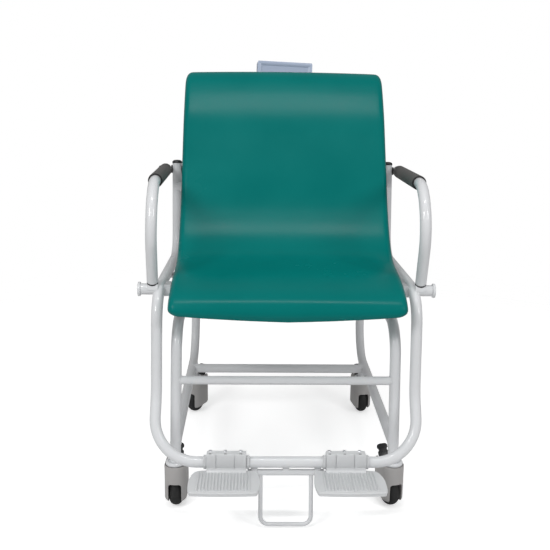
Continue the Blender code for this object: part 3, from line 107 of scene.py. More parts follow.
class TubeSizes(bpy.types.PropertyGroup):
    """Sizes of the welded base and of the weighing frame."""
    radius: length("Tube radius", "Outside radius of the frame tube", 0.0125)
    crossbar: length("Crossbar radius", "Outside radius of the thin front crossbar", 0.00975)
    crossbar_z: length("Crossbar height", "Axis of the front crossbar above the floor", 0.3130)
    rear_crossbar_y: length("Rear crossbar", "Rear crossbar behind the front legs", 0.5192)
    base_half: length("Base half width", "Half width of the base at its low rails", 0.2530)
    splay: FloatProperty(name="Splay", description="Outward lean of the side frames",
                         default=0.0220)
    low_rail_z: length("Low rail height", "Axis of the low rails above the floor", 0.1577)
    top_bar_z: length("Top bar height", "Axis of the base's top bars above the floor", 0.440)
    top_bend: length("Top bend", "Bend between front leg and top bar", 0.070)
    rail_bend: length("Rail bend", "Bend between rear leg and low rail", 0.090)
    leg_rise: length("Rear leg rise", "Rear leg above the top bar's axis", 0.016)
    plug_rise: length("Plug rise", "Rise of the plugs in the rear legs", 0.0024)
    socket: length("Socket radius", "Castor socket below a leg", 0.0135)
    ring_edge: length("Ring edge", "Rounding of the ring under a leg", 0.0024)
    ring_floor: length("Ring floor", "Depth of the floor inside the ring", 0.0034)
    upright_half: length("Upright half width", "Half distance between the uprights", 0.2798)
    upright_top: length("Upright top", "Top end of the uprights above the floor", 0.760)
    cap_rise: length("Cap rise", "Rise of the caps on the uprights", 0.0088)
    cap_edge: length("Cap edge", "Rounding of the caps' lower rims", 0.0006)
    lean: angle("Upright lean", "Backward lean of the uprights", 8.3)
    upright_bend: length("Upright bend", "Bend between upright and side rail", 0.065)
    split_half: length("Rail half width", "Half distance of the side rails at the hoop", 0.2852)
    hoop_ahead: length("Hoop", "Front hoop behind the foot bar", 0.0594)
    hoop_top_half: length("Hoop top", "Half width of the hoop at its top bend", 0.2868)
    hoop_top_bend: length("Hoop top bend", "Bend between side rail and hoop", 0.070)
    knee_z: length("Knee height", "Height at which the hoop turns forwards", 0.290)
    knee_half: length("Knee half width", "Half width of the hoop at its knee", 0.2918)
    knee_bend: length("Knee bend", "Bend of the hoop's knee", 0.120)
    foot_half: length("Foot bar corner", "Half width at the hoop's lower corners", 0.2960)
    low_bend: length("Low bend", "Bend between hoop and foot bar", 0.095)
    flange: length("Flange", "Thickness of a stub's flange", 0.0062)
    flange_edge: length("Flange edge", "Rounding of a flange's rims", 0.0014)
    dish: length("Dish", "Depth of the ring in a flange's face", 0.0006)
    weld: length("Weld bead", "Radius of a weld bead", 0.0013)


class BackSizes(bpy.types.PropertyGroup):
    """Sizes of the support behind the back."""
    bow_z: length("Bow height", "Axis of the back bow above the floor", 0.700)
    bow_ahead: length("Bow", "Back bow's middle ahead of the display's pole", 0.2433)
    bow_half: length("Bow half width", "Half width of the bow at its corners", 0.150)
    bow_bend: length("Bow bend", "Bend of the bow's corners", 0.080)
    pole: length("Pole radius", "Outside radius of the display's pole", 0.010)
    pole_knee: length("Pole knee", "Height above which the pole stands upright", 0.865)
    pole_bend: length("Pole bend", "Bend of the pole", 0.040)
    bolt: length("Bolt radius", "Radius of a bolt's round head", 0.0055)
    bolt_inset: length("Bolt inset", "Load plate's end to its bolts", 0.020)
    bolt_offset: length("Bolt offset", "Load beam's middle to its bolts", 0.009)
    plate: length("Plate thickness", "Thickness of the bow's bolting plate", 0.004)
    plate_half: length("Plate half width", "Half width of the bolting plate", 0.080)
    plate_rise: length("Plate rise", "Half height of the bolting plate", 0.025)
    plate_gap: length("Plate gap", "Bow's skin to the bolting plate", 0.003)
    plate_bolt_x: length("Plate bolts", "Plate's middle to a bolt, across", 0.065)
    plate_bolt_z: length("Plate bolt row", "Plate's middle to a bolt, upwards", 0.014)
    plate_edge: length("Plate edge", "Rounding of the steel plates", 0.0012)
    head_edge: length("Head edge", "Rounding of the display's head", 0.0007)


class SeatSizes(bpy.types.PropertyGroup):
    """Sizes of the moulded seat."""
    run: length("Run", "Front lip to the tip of the top roll", 0.566)
    rise: length("Rise", "Bottom of the lip to the top", 0.518)
    front_half: length("Front half width", "Half width at the front lip", 0.2608)
    top_half: length("Top half width", "Half width at the top", 0.2540)
    thick: length("Thickness", "Thickness of the moulding", 0.034)
    crown: length("Crown", "Rise of the middle above the borders", 0.002)
    edge: length("Border", "Width of the drawn-in border", 0.014)
    corner: length("Corner", "Rounding of the four corners", 0.018)
    lip: length("Lip", "Front of the moulding to its side line", 0.0038)
    front_bow: length("Front bow", "Droop of the front lip's middle", 0.010)
    top_bow: length("Top bow", "Rise of the top's middle", 0.0015)
    top_roll: length("Top roll", "Top of the roll below the moulding's mark", 0.0024)
    shell_half: length("Shell half width", "Half width of the pressed shell", 0.235)
    shell: length("Shell thickness", "Thickness of the pressed shell", 0.004)
    shell_edge: length("Shell edge", "Rounding of the pressed shell's rim", 0.0008)


class ArmSizes(bpy.types.PropertyGroup):
    """Sizes of the lifting arms."""
    corner_half: length("Corner half width", "Half distance of the arms' front corners", 0.2905)
    corner_ahead: length("Corner reach", "Front corner ahead of the foot bar", 0.010)
    corner_z: length("Corner height", "Front corner above the floor", 0.764)
    bend: length("Arm bend", "Bend at the front corner", 0.095)
    foot_half: length("Foot half width", "Half distance of the arms' feet", 0.3005)
    foot_rise: length("Foot rise", "Tube's end above the stub's axis", 0.018)
    tail: length("Tail", "Tube behind the pivot", 0.016)
    grip: length("Grip radius", "Outside radius of the foam grip", 0.0165)
    grip_start: length("Grip start", "Grip's rear end ahead of the pivot", 0.024)
    grip_length: length("Grip length", "Length of the foam grip", 0.342)
    rim: length("Grip rim", "Width of the grip's end rims", 0.0035)
    soft: length("Grip edge", "Rounding of the foam's ends", 0.0025)
    hole: length("Bolt hole", "Radius of the bolt's hole in the arm", 0.0043)
    bolt_head: length("Bolt head", "Radius of the pivot bolt's heads", 0.0088)
    bolt_rise: length("Bolt head rise", "Length of the outer head", 0.0065)
    bolt_dome: length("Bolt dome", "Rise of a head's dome", 0.0030)
    shank: length("Shank", "Radius of the pivot bolt's shank", 0.004)
    key: length("Bolt key", "Radius of the hexagon in the outer head", 0.0026)
    key_depth: length("Bolt key depth", "Depth of that hexagon", 0.0025)
    bush: length("Bush", "Radius of the bush between arm and upright", 0.0105)
    bush_gap: length("Bush gap", "Bush to the arm's tube", 0.001)
    pad_edge: length("Pad edge", "Rounding of the rubber saddles", 0.0004)


class CastorSizes(bpy.types.PropertyGroup):
    """Sizes of the hooded castors."""
    top: length("Hood top", "Top of the hood above the floor", 0.107)
    bottom: length("Hood bottom", "Bottom of the hood above the floor", 0.018)
    hood: length("Hood radius", "Half width of the hood", 0.0265)
    reach: length("Hood reach", "Swivel axis to the middle of the hood's round tail", 0.034)
    shoulder: length("Shoulder", "Rounding of the hood's top rim", 0.0014)
    skirt: length("Skirt", "Rounding of the hood's lower rim", 0.0090)
    ledge: length("Ledge", "How far the hood's upper half stands proud", 0.0006)
    collar: length("Collar radius", "Ring under the leg", 0.0227)
    collar_rise: length("Collar rise", "Height of the ring under the leg", 0.0080)
    groove: length("Groove", "Width of the groove round the ring", 0.0025)
    groove_depth: length("Groove depth", "Depth of that groove", 0.0040)
    stem: length("Stem hole", "Radius of the stem's hole", 0.0057)
    stem_depth: length("Stem depth", "Depth of the stem's hole", 0.0123)
    seam_half: length("Seam", "Half width of the parting seam", 0.0003)
    seam_depth: length("Seam depth", "Depth of the parting seam", 0.0004)
    trail: length("Trail", "Swivel axis to the axle", 0.014)
    wheel: length("Wheel radius", "Radius of the wheel", 0.0375)
    wheel_half: length("Wheel half width", "Half width of the wheel", 0.0144)
    axle: length("Axle radius", "Radius of the axle", 0.004)
    axle_half: length("Axle half length", "Half length of the axle", 0.0212)
    hub: length("Hub radius", "Radius of the hub's middle", 0.009)
    web: length("Hub rounding", "Radius lost from the hub to its web", 0.002)
    well_half: length("Well half width", "Half width of the wheel's well", 0.01525)
    well: length("Well radius", "Radius of the wheel's well", 0.0395)
    arch_z: length("Arch height", "Top of the hood's front arch above the floor", 0.065)
    arch_bend: length("Arch rounding", "Rounding of the arch's upper corners", 0.0075)
    pedal_y: length("Pedal hinge", "Swivel axis to the pedal's hinge", 0.040)
    pedal_z: length("Pedal height", "Pedal's hinge above the floor", 0.098)
    pedal_reach: length("Pedal reach", "Swivel axis to the pedal's tip", 0.062)
    pedal_rise: length("Pedal rise", "Pedal's tip above its hinge", 0.034)
    pedal_half: length("Pedal half width", "Half width of the pedal", 0.0128)
    pedal_thick: length("Pedal thickness", "Thickness of the pedal", 0.006)
    pedal_corner: length("Pedal corner", "Rounding of the pedal's corners", 0.007)
    pedal_bite: length("Pedal bite", "Radius of the bite in each side", 0.0042)
    pedal_bar: length("Pedal bar", "Half width of a grip bar", 0.001)
    barrel: length("Barrel radius", "Radius of the pedal's barrel", 0.004)
    barrel_seat: length("Barrel seat", "Barrel's axis to its seat in the hood", 0.0043)
    pin: length("Pin radius", "Radius of the barrel's pin", 0.0027)
    pin_depth: length("Pin depth", "Depth of the pin's mark in the hood", 0.0012)
    notch_half: length("Notch half width", "Half width of the pedal's notch", 0.0143)


class FootrestSizes(bpy.types.PropertyGroup):
    """Sizes of the folding footplates and of the tip guard."""
    leaf: length("Leaf width", "Width of the hinge leaf", 0.088)
    leaf_top: length("Leaf top", "Hinge block's top above the bar's axis", 0.0225)
    leaf_front: length("Leaf front", "Leaf's front face ahead of the bar's axis", 0.019)
    leaf_lift: length("Leaf lift", "Leaf's skirt above the plate's top", 0.0004)
    leaf_toe: length("Leaf toe", "Reach of the leaf's skirt onto the plate", 0.0050)
    leaf_ridge: length("Leaf ridge", "Rise of the leaf's front ridge", 0.0042)
    leaf_line: length("Leaf line", "Half width of the two upright lines", 0.0010)
    clamp_rear: length("Clamp", "Clamp's rear face behind the bar's axis", 0.017)
    block_edge: length("Block edge", "Rounding of leaf and clamp", 0.0005)
    rear: length("Rear edge", "Plate's rear edge ahead of the bar's axis", 0.009)
    depth: length("Depth", "Plate's depth in its middle", 0.1165)
    thick: length("Thickness", "Thickness of the plate", 0.010)
    drop: length("Drop", "Plate's top below the bar's axis", 0.016)
    tilt: angle("Tilt", "Upward tilt of the plate's front", 3)
    lip: length("Lip", "Height of the plate's upper edge band", 0.0044)
    step: length("Step", "Plate's lower half inside its edge band", 0.0014)
    edge: length("Plate rounding", "Rounding of the plate's edges", 0.0011)
    ribs: count("Ribs", "Raised ribs on a plate", 17)
    rib_pitch: length("Rib pitch", "Distance between two ribs", 0.00695)
    rib_half: length("Rib half width", "Half width of a rib", 0.0015)
    rib_rise: length("Rib rise", "Height of a rib", 0.0030)
    rib_edge: length("Rib edge", "Rounding of a rib", 0.0008)
    rib_shift: length("Rib shift", "Ribs' middle outward of the hinge's middle", 0.0045)
    rib_start: length("Rib start", "Plate's rear edge to the ribs", 0.0150)
    rib_end: length("Rib end", "Plate's rear edge to the ribs' tips", 0.1055)
    screw: length("Screw radius", "Radius of a dome screw's head", 0.0040)
    screw_row: length("Screw row", "Screws behind the bar's axis", 0.0078)
    slot: length("Screw slot", "Depth of the screws' seats below the top", 0.0004)
    nut: length("Nut", "Half width of a nut", 0.0030)
    nut_row: length("Nut row", "Nuts ahead of the bar's axis", 0.0076)
    nut_groove: length("Nut groove", "Depth of the nuts' groove", 0.0030)
    collar: length("Collar radius", "Outside radius of the stop collars", 0.0155)
    collar_edge: length("Collar edge", "Rounding of the collars' rims", 0.0012)
    boss: length("Collar boss", "Flat boss's front ahead of the bar's axis", 0.0152)
    boss_rear: length("Boss rear", "Boss's rear face ahead of the bar's axis", 0.002)
    boss_low: length("Boss low", "Boss's lower face below the bar's axis", 0.0035)
    boss_top: length("Boss top", "Boss's top above the bar's axis", 0.0192)
    boss_edge: length("Boss edge", "Rounding of a boss", 0.0008)
    guard_bar: length("Guard bar", "Radius of the tip guard's bar", 0.007)
    guard_rod: length("Guard rod", "Radius of the tip guard's loop", 0.0048)
    guard_half: length("Guard half width", "Half width of the loop", 0.0565)
    guard_low: length("Guard low", "Bottom of the loop above the floor", 0.011)
    guard_bend: length("Guard bend", "Bend of the loop's corners", 0.018)
    guard_drop: length("Guard drop", "Guard's bar below the foot bar", 0.026)
    guard_behind: length("Guard bar place", "Guard's bar behind the foot bar", 0.003)
    guard_ahead: length("Guard reach", "Bottom of the loop ahead of the foot bar", 0.020)
    guard_edge: length("Guard edge", "Rounding of the bar's ends", 0.0012)
    tab_half: length("Tab half width", "Half width of a tab", 0.0075)
    tab_spread: length("Tab spread", "Middle tab to an outer tab", 0.071)
    tab_front: length("Tab front", "Tab's front ahead of the guard's bar", 0.0055)
    tab_rear: length("Tab rear", "Tab's rear behind the guard's bar", 0.0025)
    tab_edge: length("Tab edge", "Rounding of a tab", 0.0008)


class DisplaySizes(bpy.types.PropertyGroup):
    """Sizes of the display's housing."""
    half: length("Half width", "Half width of the housing", 0.0735)
    up: length("Top", "Housing's top above the tilt axis", 0.036)
    height: length("Height", "Height of the housing", 0.088)
    back: length("Back", "Housing's back ahead of the tilt axis", 0.018)
    depth: length("Depth", "Depth of the housing", 0.034)
    border: length("Border", "Width of the rim round the face's panel", 0.0105)
    recess: length("Recess", "Depth of the face's panel", 0.0008)
    panel_corner: length("Panel corner", "Rounding of the face's panel", 0.002)
    edge: length("Edge", "Rounding of the front shell", 0.0016)
    rear_edge: length("Rear edge", "Rounding of the rear shell", 0.0010)
    lens_edge: length("Window edge", "Rounding of the window", 0.0003)
    key_edge: length("Key edge", "Rounding of the keys", 0.0007)


class Finishes(bpy.types.PropertyGroup):
    """Base colours of the finishes."""
    powder: tone("Powder coat", "Pale grey-white powder coat", (0.70, 0.71, 0.725))
    seat: tone("Seat skin", "Teal foam skin", (0.0, 0.156, 0.144))
    rubber: tone("Rubber", "Tyres, saddles and grip rims", (0.008, 0.008, 0.008))
    foam: tone("Foam", "Foam of the arm grips", (0.098, 0.094, 0.090))
    castor: tone("Castor plastic", "Warm grey of the castor hoods", (0.405, 0.392, 0.386))
    dark: tone("Dark plastic", "Caps, pedals and pivot bolts", (0.020, 0.021, 0.022))
    footplate: tone("Footplate plastic", "Pale grey of the footplates", (0.66, 0.67, 0.68))
    display: tone("Display plastic", "Blue-grey of the housing", (0.40, 0.465, 0.60))
    window: tone("Window", "Reading window", (0.20, 0.23, 0.19))
    keys: tone("Keys", "Press keys", (0.20, 0.24, 0.33))
    board: tone("Board", "Circuit board", (0.02, 0.17, 0.07))
    metal: tone("Aluminium", "Load cell", (0.77, 0.78, 0.80))
    shell: tone("Shell", "Pressed shell behind the seat", (0.045, 0.045, 0.047))


SIZE_GROUPS = {"scale_tubes": TubeSizes, "scale_back": BackSizes, "scale_seat": SeatSizes,
               "scale_arms": ArmSizes, "scale_castors": CastorSizes,
               "scale_footrests": FootrestSizes, "scale_display": DisplaySizes,
               "scale_finishes": Finishes}


# Selection and modelling helpers

def select_only(*pieces):
    """Select these objects and nothing else, the first one active."""
    bpy.ops.object.select_all(action="DESELECT")
    for piece in pieces:
        piece.select_set(True)
    bpy.context.view_layer.objects.active = pieces[0]


def begin(add, **settings):
    """Add a primitive, put its place in its mesh and open it for editing."""
    bpy.ops.object.select_all(action="DESELECT")
    add(**settings)
    bpy.ops.object.transform_apply(location=True, rotation=True, scale=True)
    bpy.ops.object.mode_set(mode="EDIT")
    return bpy.context.object


def leave(piece):
    """Merge doubles, turn the faces outwards and close the piece."""
    bpy.ops.mesh.select_mode(type="VERT")
    bpy.ops.mesh.select_all(action="SELECT")
    bpy.ops.mesh.remove_doubles(threshold=MERGE)
    bpy.ops.mesh.normals_make_consistent(inside=False)
    bpy.ops.object.mode_set(mode="OBJECT")
    return piece


def pick(piece, kind, test):
    """In edit mode, select the corners, edges or faces that pass a test, and nothing else."""
    bpy.ops.mesh.select_mode(type=kind)
    bpy.ops.mesh.select_all(action="DESELECT")
    shape = bmesh.from_edit_mesh(piece.data)
    for item in {"VERT": shape.verts, "EDGE": shape.edges, "FACE": shape.faces}[kind]:
        if test(item):
            item.select_set(True)
    bmesh.update_edit_mesh(piece.data)


def extrude(step):
    bpy.ops.mesh.extrude_region_move(TRANSFORM_OT_translate={"value": tuple(step)})


def apply_step(piece, kind, **settings):
    """Add a modifier and apply it."""
    step = piece.modifiers.new(kind.lower(), kind)
    for name, value in settings.items():
        setattr(step, name, value)
    select_only(piece)
    bpy.ops.object.modifier_apply(modifier=step.name)
    return piece


def round_edges(piece, width, segments=2, sharper_than=35):
    """Round every edge that is sharper than an angle."""
    return apply_step(piece, "BEVEL", width=width, segments=segments, limit_method="ANGLE",
                      angle_limit=math.radians(sharper_than), use_clamp_overlap=True)


def combine(piece, operation, *tools):
    """Cut or join a piece with helper shapes, which are used up."""
    for tool in tools:
        apply_step(piece, "BOOLEAN", operation=operation, object=tool, solver="EXACT")
        bpy.data.objects.remove(tool, do_unlink=True)
    return piece


def cut(piece, *tools):
    return combine(piece, "DIFFERENCE", *tools)


def join(pieces):
    """One object from several."""
    select_only(*pieces)
    bpy.ops.object.join()
    return pieces[0]


def linked(name, mesh):
    """An object of a mesh, in the scene."""
    made = bpy.data.objects.new(name, mesh)
    bpy.context.scene.collection.objects.link(made)
    return made


def built(shape, name):
    """An object from a bmesh, which is used up."""
    mesh = bpy.data.meshes.new(name)
    shape.to_mesh(mesh)
    shape.free()
    return linked(name, mesh)


def reopen(piece):
    """Open a finished mesh for editing with everything selected."""
    select_only(piece)
    bpy.ops.object.mode_set(mode="EDIT")
    bpy.ops.mesh.select_all(action="SELECT")


def cleaned(piece):
    """Merge the corners that a cut or a bevel left on one spot."""
    reopen(piece)
    return leave(piece)


def placed(piece, matrix):
    """Carry a piece's mesh to its place."""
    piece.data.transform(matrix)
    if matrix.determinant() < 0:
        piece.data.flip_normals()
    return piece


def finish(piece, name, material, body, *nodes, smooth=35):
    """Name a piece, shade it, give it its finish and let it ride on its body."""
    piece.name = piece.data.name = name
    select_only(piece)
    bpy.ops.object.transform_apply(location=True, rotation=True, scale=True)
    bpy.ops.object.shade_smooth_by_angle(angle=math.radians(smooth))
    piece.data.materials.clear()
    piece.data.materials.append(MATERIALS[material])
    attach(piece, body)
    if nodes:
        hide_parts(*nodes)
    return piece


def track(direction):
    """Turn that lays Z along a direction."""
    return Vector(direction).to_track_quat("Z", "Y")


def aimed(place, direction):
    """Matrix that carries the origin to a place and lays Z along a direction."""
    return Matrix.Translation(place) @ track(direction).to_matrix().to_4x4()


def block(low, high, edge=0, segments=3):
    """A box between two corners with rounded edges."""
    low, high = Vector(low), Vector(high)
    piece = begin(bpy.ops.mesh.primitive_cube_add, size=1, location=(low + high) / 2,
                  scale=high - low)
    if edge:
        bpy.ops.mesh.bevel(offset=edge, segments=segments, affect="EDGES")
    return leave(piece)


def bent_tube(corners, bends, radius, sides=28, steps=14):
    """A round tube along straight runs, spun round each inner corner."""
    corners = [Vector(corner) for corner in corners]
    here, heading = corners[0], (corners[1] - corners[0]).normalized()
    piece = begin(bpy.ops.mesh.primitive_circle_add, vertices=sides, radius=radius,
                  fill_type="NGON", location=here, rotation=track(heading).to_euler())
    for corner, after, bend in zip(corners[1:], corners[2:], bends):
        following = (after - corner).normalized()
        sweep = heading.angle(following)
        reach = bend * math.tan(sweep / 2)
        start = corner - heading * reach
        extrude(start - here)
        centre = corner + (following - heading).normalized() * (bend / math.cos(sweep / 2))
        bpy.ops.mesh.spin(steps=steps, angle=-sweep, center=centre, axis=heading.cross(following),
                          dupli=False)
        here, heading = corner + following * reach, following
    extrude(corners[-1] - here)
    return leave(piece)


def turned(rings, place=(0, 0, 0), direction=(0, 0, 1), sides=40, bore=False):
    """Rings of (radius, height) joined from one end to the other, or round a bore."""
    radius, height = rings[0]
    piece = begin(bpy.ops.mesh.primitive_circle_add, vertices=sides, radius=radius,
                  fill_type="NOTHING" if bore else "NGON", location=(0, 0, height))
    for next_radius, next_height in [*rings[1:], *(rings[:1] if bore else [])]:
        extrude((0, 0, next_height - height))
        scale = next_radius / radius
        bpy.ops.transform.resize(value=(scale, scale, 1), center_override=(0, 0, next_height))
        radius, height = next_radius, next_height
    return placed(leave(piece), aimed(place, direction))


def rounded(radius, start, end, edge, chord=0.3):
    """Rings of a round bar with rounded rims. The chord is a share of the edge."""
    cut_back = edge * chord
    return [(radius - edge, start), (radius - cut_back, start + cut_back), (radius, start + edge),
            (radius, end - edge), (radius - cut_back, end - cut_back), (radius - edge, end)]


def rod(start, end, radius, sides=32, edge=0):
    """A straight bar between two points, its rims rounded."""
    run = Vector(end) - Vector(start)
    rings = [(radius, 0), (radius, run.length)]
    if edge:
        rings = rounded(radius, 0, run.length, edge, chord=0.25)
    return turned(rings, start, run, sides)


def polygon(points):
    """A flat face whose corners lie at (x, y, z) points, open for editing."""
    piece = begin(bpy.ops.mesh.primitive_circle_add, vertices=len(points), radius=1,
                  fill_type="NGON")
    shape = bmesh.from_edit_mesh(piece.data)
    for corner, point in zip(shape.verts, points):
        corner.co = point
    bmesh.update_edit_mesh(piece.data)
    return piece


def round_corner(piece, point, radius):
    """Round one corner of a flat face in edit mode."""
    pick(piece, "VERT", lambda corner: (corner.co - Vector(point)).length < MERGE)
    bpy.ops.mesh.bevel(offset=radius, segments=8, affect="VERTICES")


def thicken(step):
    """In edit mode, give a flat piece its thickness."""
    bpy.ops.mesh.select_mode(type="FACE")
    bpy.ops.mesh.select_all(action="SELECT")
    extrude(step)


def dome_screw(place, direction, radius):
    """A round screw head with a hexagon socket."""
    head = turned([(radius, 0), (radius, radius * 0.25), (radius * 0.86, radius * 0.48),
                   (radius * 0.55, radius * 0.68), (radius * 0.2, radius * 0.75)], sides=24)
    cut(head, turned([(radius * 0.36, radius * 0.35), (radius * 0.36, radius)], sides=6))
    return placed(cleaned(head), aimed(place, direction))


def refined(node, edge, segments=3):
    """A finer copy of a frame node: its loose facets joined and its edges rounded."""
    piece = linked("refined", NODES[node].data.copy())
    reopen(piece)
    bpy.ops.mesh.remove_doubles(threshold=MERGE)
    bpy.ops.mesh.dissolve_limited(angle_limit=math.radians(1))
    bpy.ops.object.mode_set(mode="OBJECT")
    return round_edges(piece, edge, segments)


def weld_bead(name, place, direction, radius, target, size):
    """The bead where a tube meets another one, laid on the other one's skin."""
    bpy.ops.object.select_all(action="DESELECT")
    bpy.ops.mesh.primitive_circle_add(vertices=48, radius=radius, location=place,
                                      rotation=track(direction).to_euler())
    bead = bpy.context.object
    apply_step(bead, "SHRINKWRAP", target=target, wrap_method="PROJECT", use_project_z=True,
               use_negative_direction=True, use_positive_direction=False)
    select_only(bead)
    bpy.ops.object.convert(target="CURVE")
    bead = bpy.context.object
    bead.data.bevel_depth = size
    bead.data.bevel_resolution = 2
    bpy.ops.object.convert(target="MESH")
    finish(bpy.context.object, name, "white_powder_coat", "root", smooth=60)


# Shader groups

def shader_group(name, inputs, outputs):
    """An empty shader group with named sockets, and its two end nodes."""
    group = bpy.data.node_groups.new(name, "ShaderNodeTree")
    for label, kind, default in inputs:
        socket = group.interface.new_socket(label, in_out="INPUT", socket_type=f"NodeSocket{kind}")
        if default is not None:
            socket.default_value = default
    for label, kind in outputs:
        group.interface.new_socket(label, in_out="OUTPUT", socket_type=f"NodeSocket{kind}")
    return group, group.nodes.new("NodeGroupInput"), group.nodes.new("NodeGroupOutput")


def add_node(tree, kind, links=(), **values):
    """Add a node, set its properties and sockets, and link sources to its inputs."""
    node = tree.nodes.new(f"ShaderNode{kind}")
    for name, value in values.items():
        if hasattr(node, name):
            setattr(node, name, value)
        else:
            node.inputs[name.replace("_", " ").title()].default_value = value
    for source, target in links:
        tree.links.new(source, node.inputs[target])
    return node


def use_group(tree, name, place, **values):
    """Add one of the scale's shader groups, fed with a place."""
    node = tree.nodes.new("ShaderNodeGroup")
    node.node_tree = bpy.data.node_groups[name]
    tree.links.new(place, node.inputs["Vector"])
    for label, value in values.items():
        node.inputs[label.replace("_", " ").title()].default_value = value
    return node


def relief_group():
    """Fine grain or orange peel, as a bumped normal."""
    group, start, end = shader_group(
        "surface_relief",
        [("Vector", "Vector", None), ("Scale", "Float", 900), ("Pebble", "Float", 0.5),
         ("Strength", "Float", 0.2), ("Height", "Float", 0.0003)],
        [("Normal", "Vector"), ("Relief", "Float")])
    wave = add_node(group, "TexNoise", [(start.outputs["Vector"], "Vector"),
                                        (start.outputs["Scale"], "Scale")], detail=3.0)
    cells = add_node(group, "TexVoronoi", [(start.outputs["Vector"], "Vector"),
                                           (start.outputs["Scale"], "Scale")],
                     feature="SMOOTH_F1")
    both = add_node(group, "Mix", [(start.outputs["Pebble"], "Factor"), (wave.outputs["Fac"], 2),
                                   (cells.outputs["Distance"], 3)])
    bump = add_node(group, "Bump", [(start.outputs["Strength"], "Strength"),
                                    (start.outputs["Height"], "Distance"),
                                    (both.outputs[0], "Height")])
    group.links.new(bump.outputs["Normal"], end.inputs["Normal"])
    group.links.new(both.outputs[0], end.inputs["Relief"])


def tone_group():
    """A colour that drifts between two tones, and the mask that it follows."""
    group, start, end = shader_group(
        "drifting_tone",
        [("Vector", "Vector", None), ("Scale", "Float", 6), ("Tone", "Color", None),
         ("Other Tone", "Color", None)],
        [("Color", "Color"), ("Mask", "Float")])
    noise = add_node(group, "TexNoise", [(start.outputs["Vector"], "Vector"),
                                         (start.outputs["Scale"], "Scale")], detail=4.0)
    spread = add_node(group, "MapRange", [(noise.outputs["Fac"], "Value")], from_min=0.3,
                      from_max=0.7)
    mix = add_node(group, "Mix", [(spread.outputs["Result"], "Factor"),
                                  (start.outputs["Tone"], 6), (start.outputs["Other Tone"], 7)],
                   data_type="RGBA")
    group.links.new(mix.outputs[2], end.inputs["Color"])
    group.links.new(spread.outputs["Result"], end.inputs["Mask"])


def wear_group():
    """A mask of rubbed edges, from how far the rounded normal leaves the true one."""
    group, start, end = shader_group(
        "rubbed_edges", [("Vector", "Vector", None), ("Radius", "Float", 0.0015),
                         ("Amount", "Float", 0.5)], [("Mask", "Float")])
    eased = add_node(group, "Bevel", [(start.outputs["Radius"], "Radius")], samples=4)
    true = add_node(group, "NewGeometry")
    turn = add_node(group, "VectorMath", [(eased.outputs["Normal"], 0),
                                          (true.outputs["Normal"], 1)], operation="DOT_PRODUCT")
    edge = add_node(group, "MapRange", [(turn.outputs["Value"], "Value")], from_min=0.995,
                    from_max=0.90)
    patches = add_node(group, "TexNoise", [(start.outputs["Vector"], "Vector")], scale=60.0)
    broken = add_node(group, "Math", [(edge.outputs["Result"], 0), (patches.outputs["Fac"], 1)],
                      operation="MULTIPLY")
    amount = add_node(group, "Math", [(broken.outputs[0], 0), (start.outputs["Amount"], 1)],
                      operation="MULTIPLY")
    group.links.new(amount.outputs[0], end.inputs["Mask"])


def make_material(name, colour, roughness, grain, relief, shift=0.06, pebble=0.5, wear=0.0,
                  spread=0.05, specular=0.5, **sockets):
    """A finish: drifting colour, uneven gloss and fine relief on one Principled shader."""
    material = bpy.data.materials.new(name)
    material.use_nodes = True
    tree = material.node_tree
    shader = tree.nodes["Principled BSDF"]
    place = tree.nodes.new("ShaderNodeTexCoord").outputs["Object"]
    light = [min(1, part * (1 + shift) + shift * 0.01) for part in colour]
    dark = [part * (1 - shift) for part in colour]
    drift = use_group(tree, "drifting_tone", place, tone=(*dark, 1), other_tone=(*light, 1))
    base = drift.outputs["Color"]
    if wear:
        rubbed = use_group(tree, "rubbed_edges", place, amount=wear)
        paler = [min(1, part * 1.15 + 0.02) for part in colour]
        mix = add_node(tree, "Mix", [(rubbed.outputs["Mask"], "Factor"), (base, 6)],
                       data_type="RGBA")
        mix.inputs[7].default_value = (*paler, 1)
        base = mix.outputs[2]
    tree.links.new(base, shader.inputs["Base Color"])
    gloss = add_node(tree, "MapRange", [(drift.outputs["Mask"], "Value")],
                     to_min=roughness - spread, to_max=roughness + spread)
    tree.links.new(gloss.outputs["Result"], shader.inputs["Roughness"])
    peel = use_group(tree, "surface_relief", place, scale=grain, pebble=pebble, strength=relief)
    tree.links.new(peel.outputs["Normal"], shader.inputs["Normal"])
    shader.inputs["Specular IOR Level"].default_value = specular
    for label, value in sockets.items():
        shader.inputs[label.replace("_", " ").title()].default_value = value
    MATERIALS[name] = material


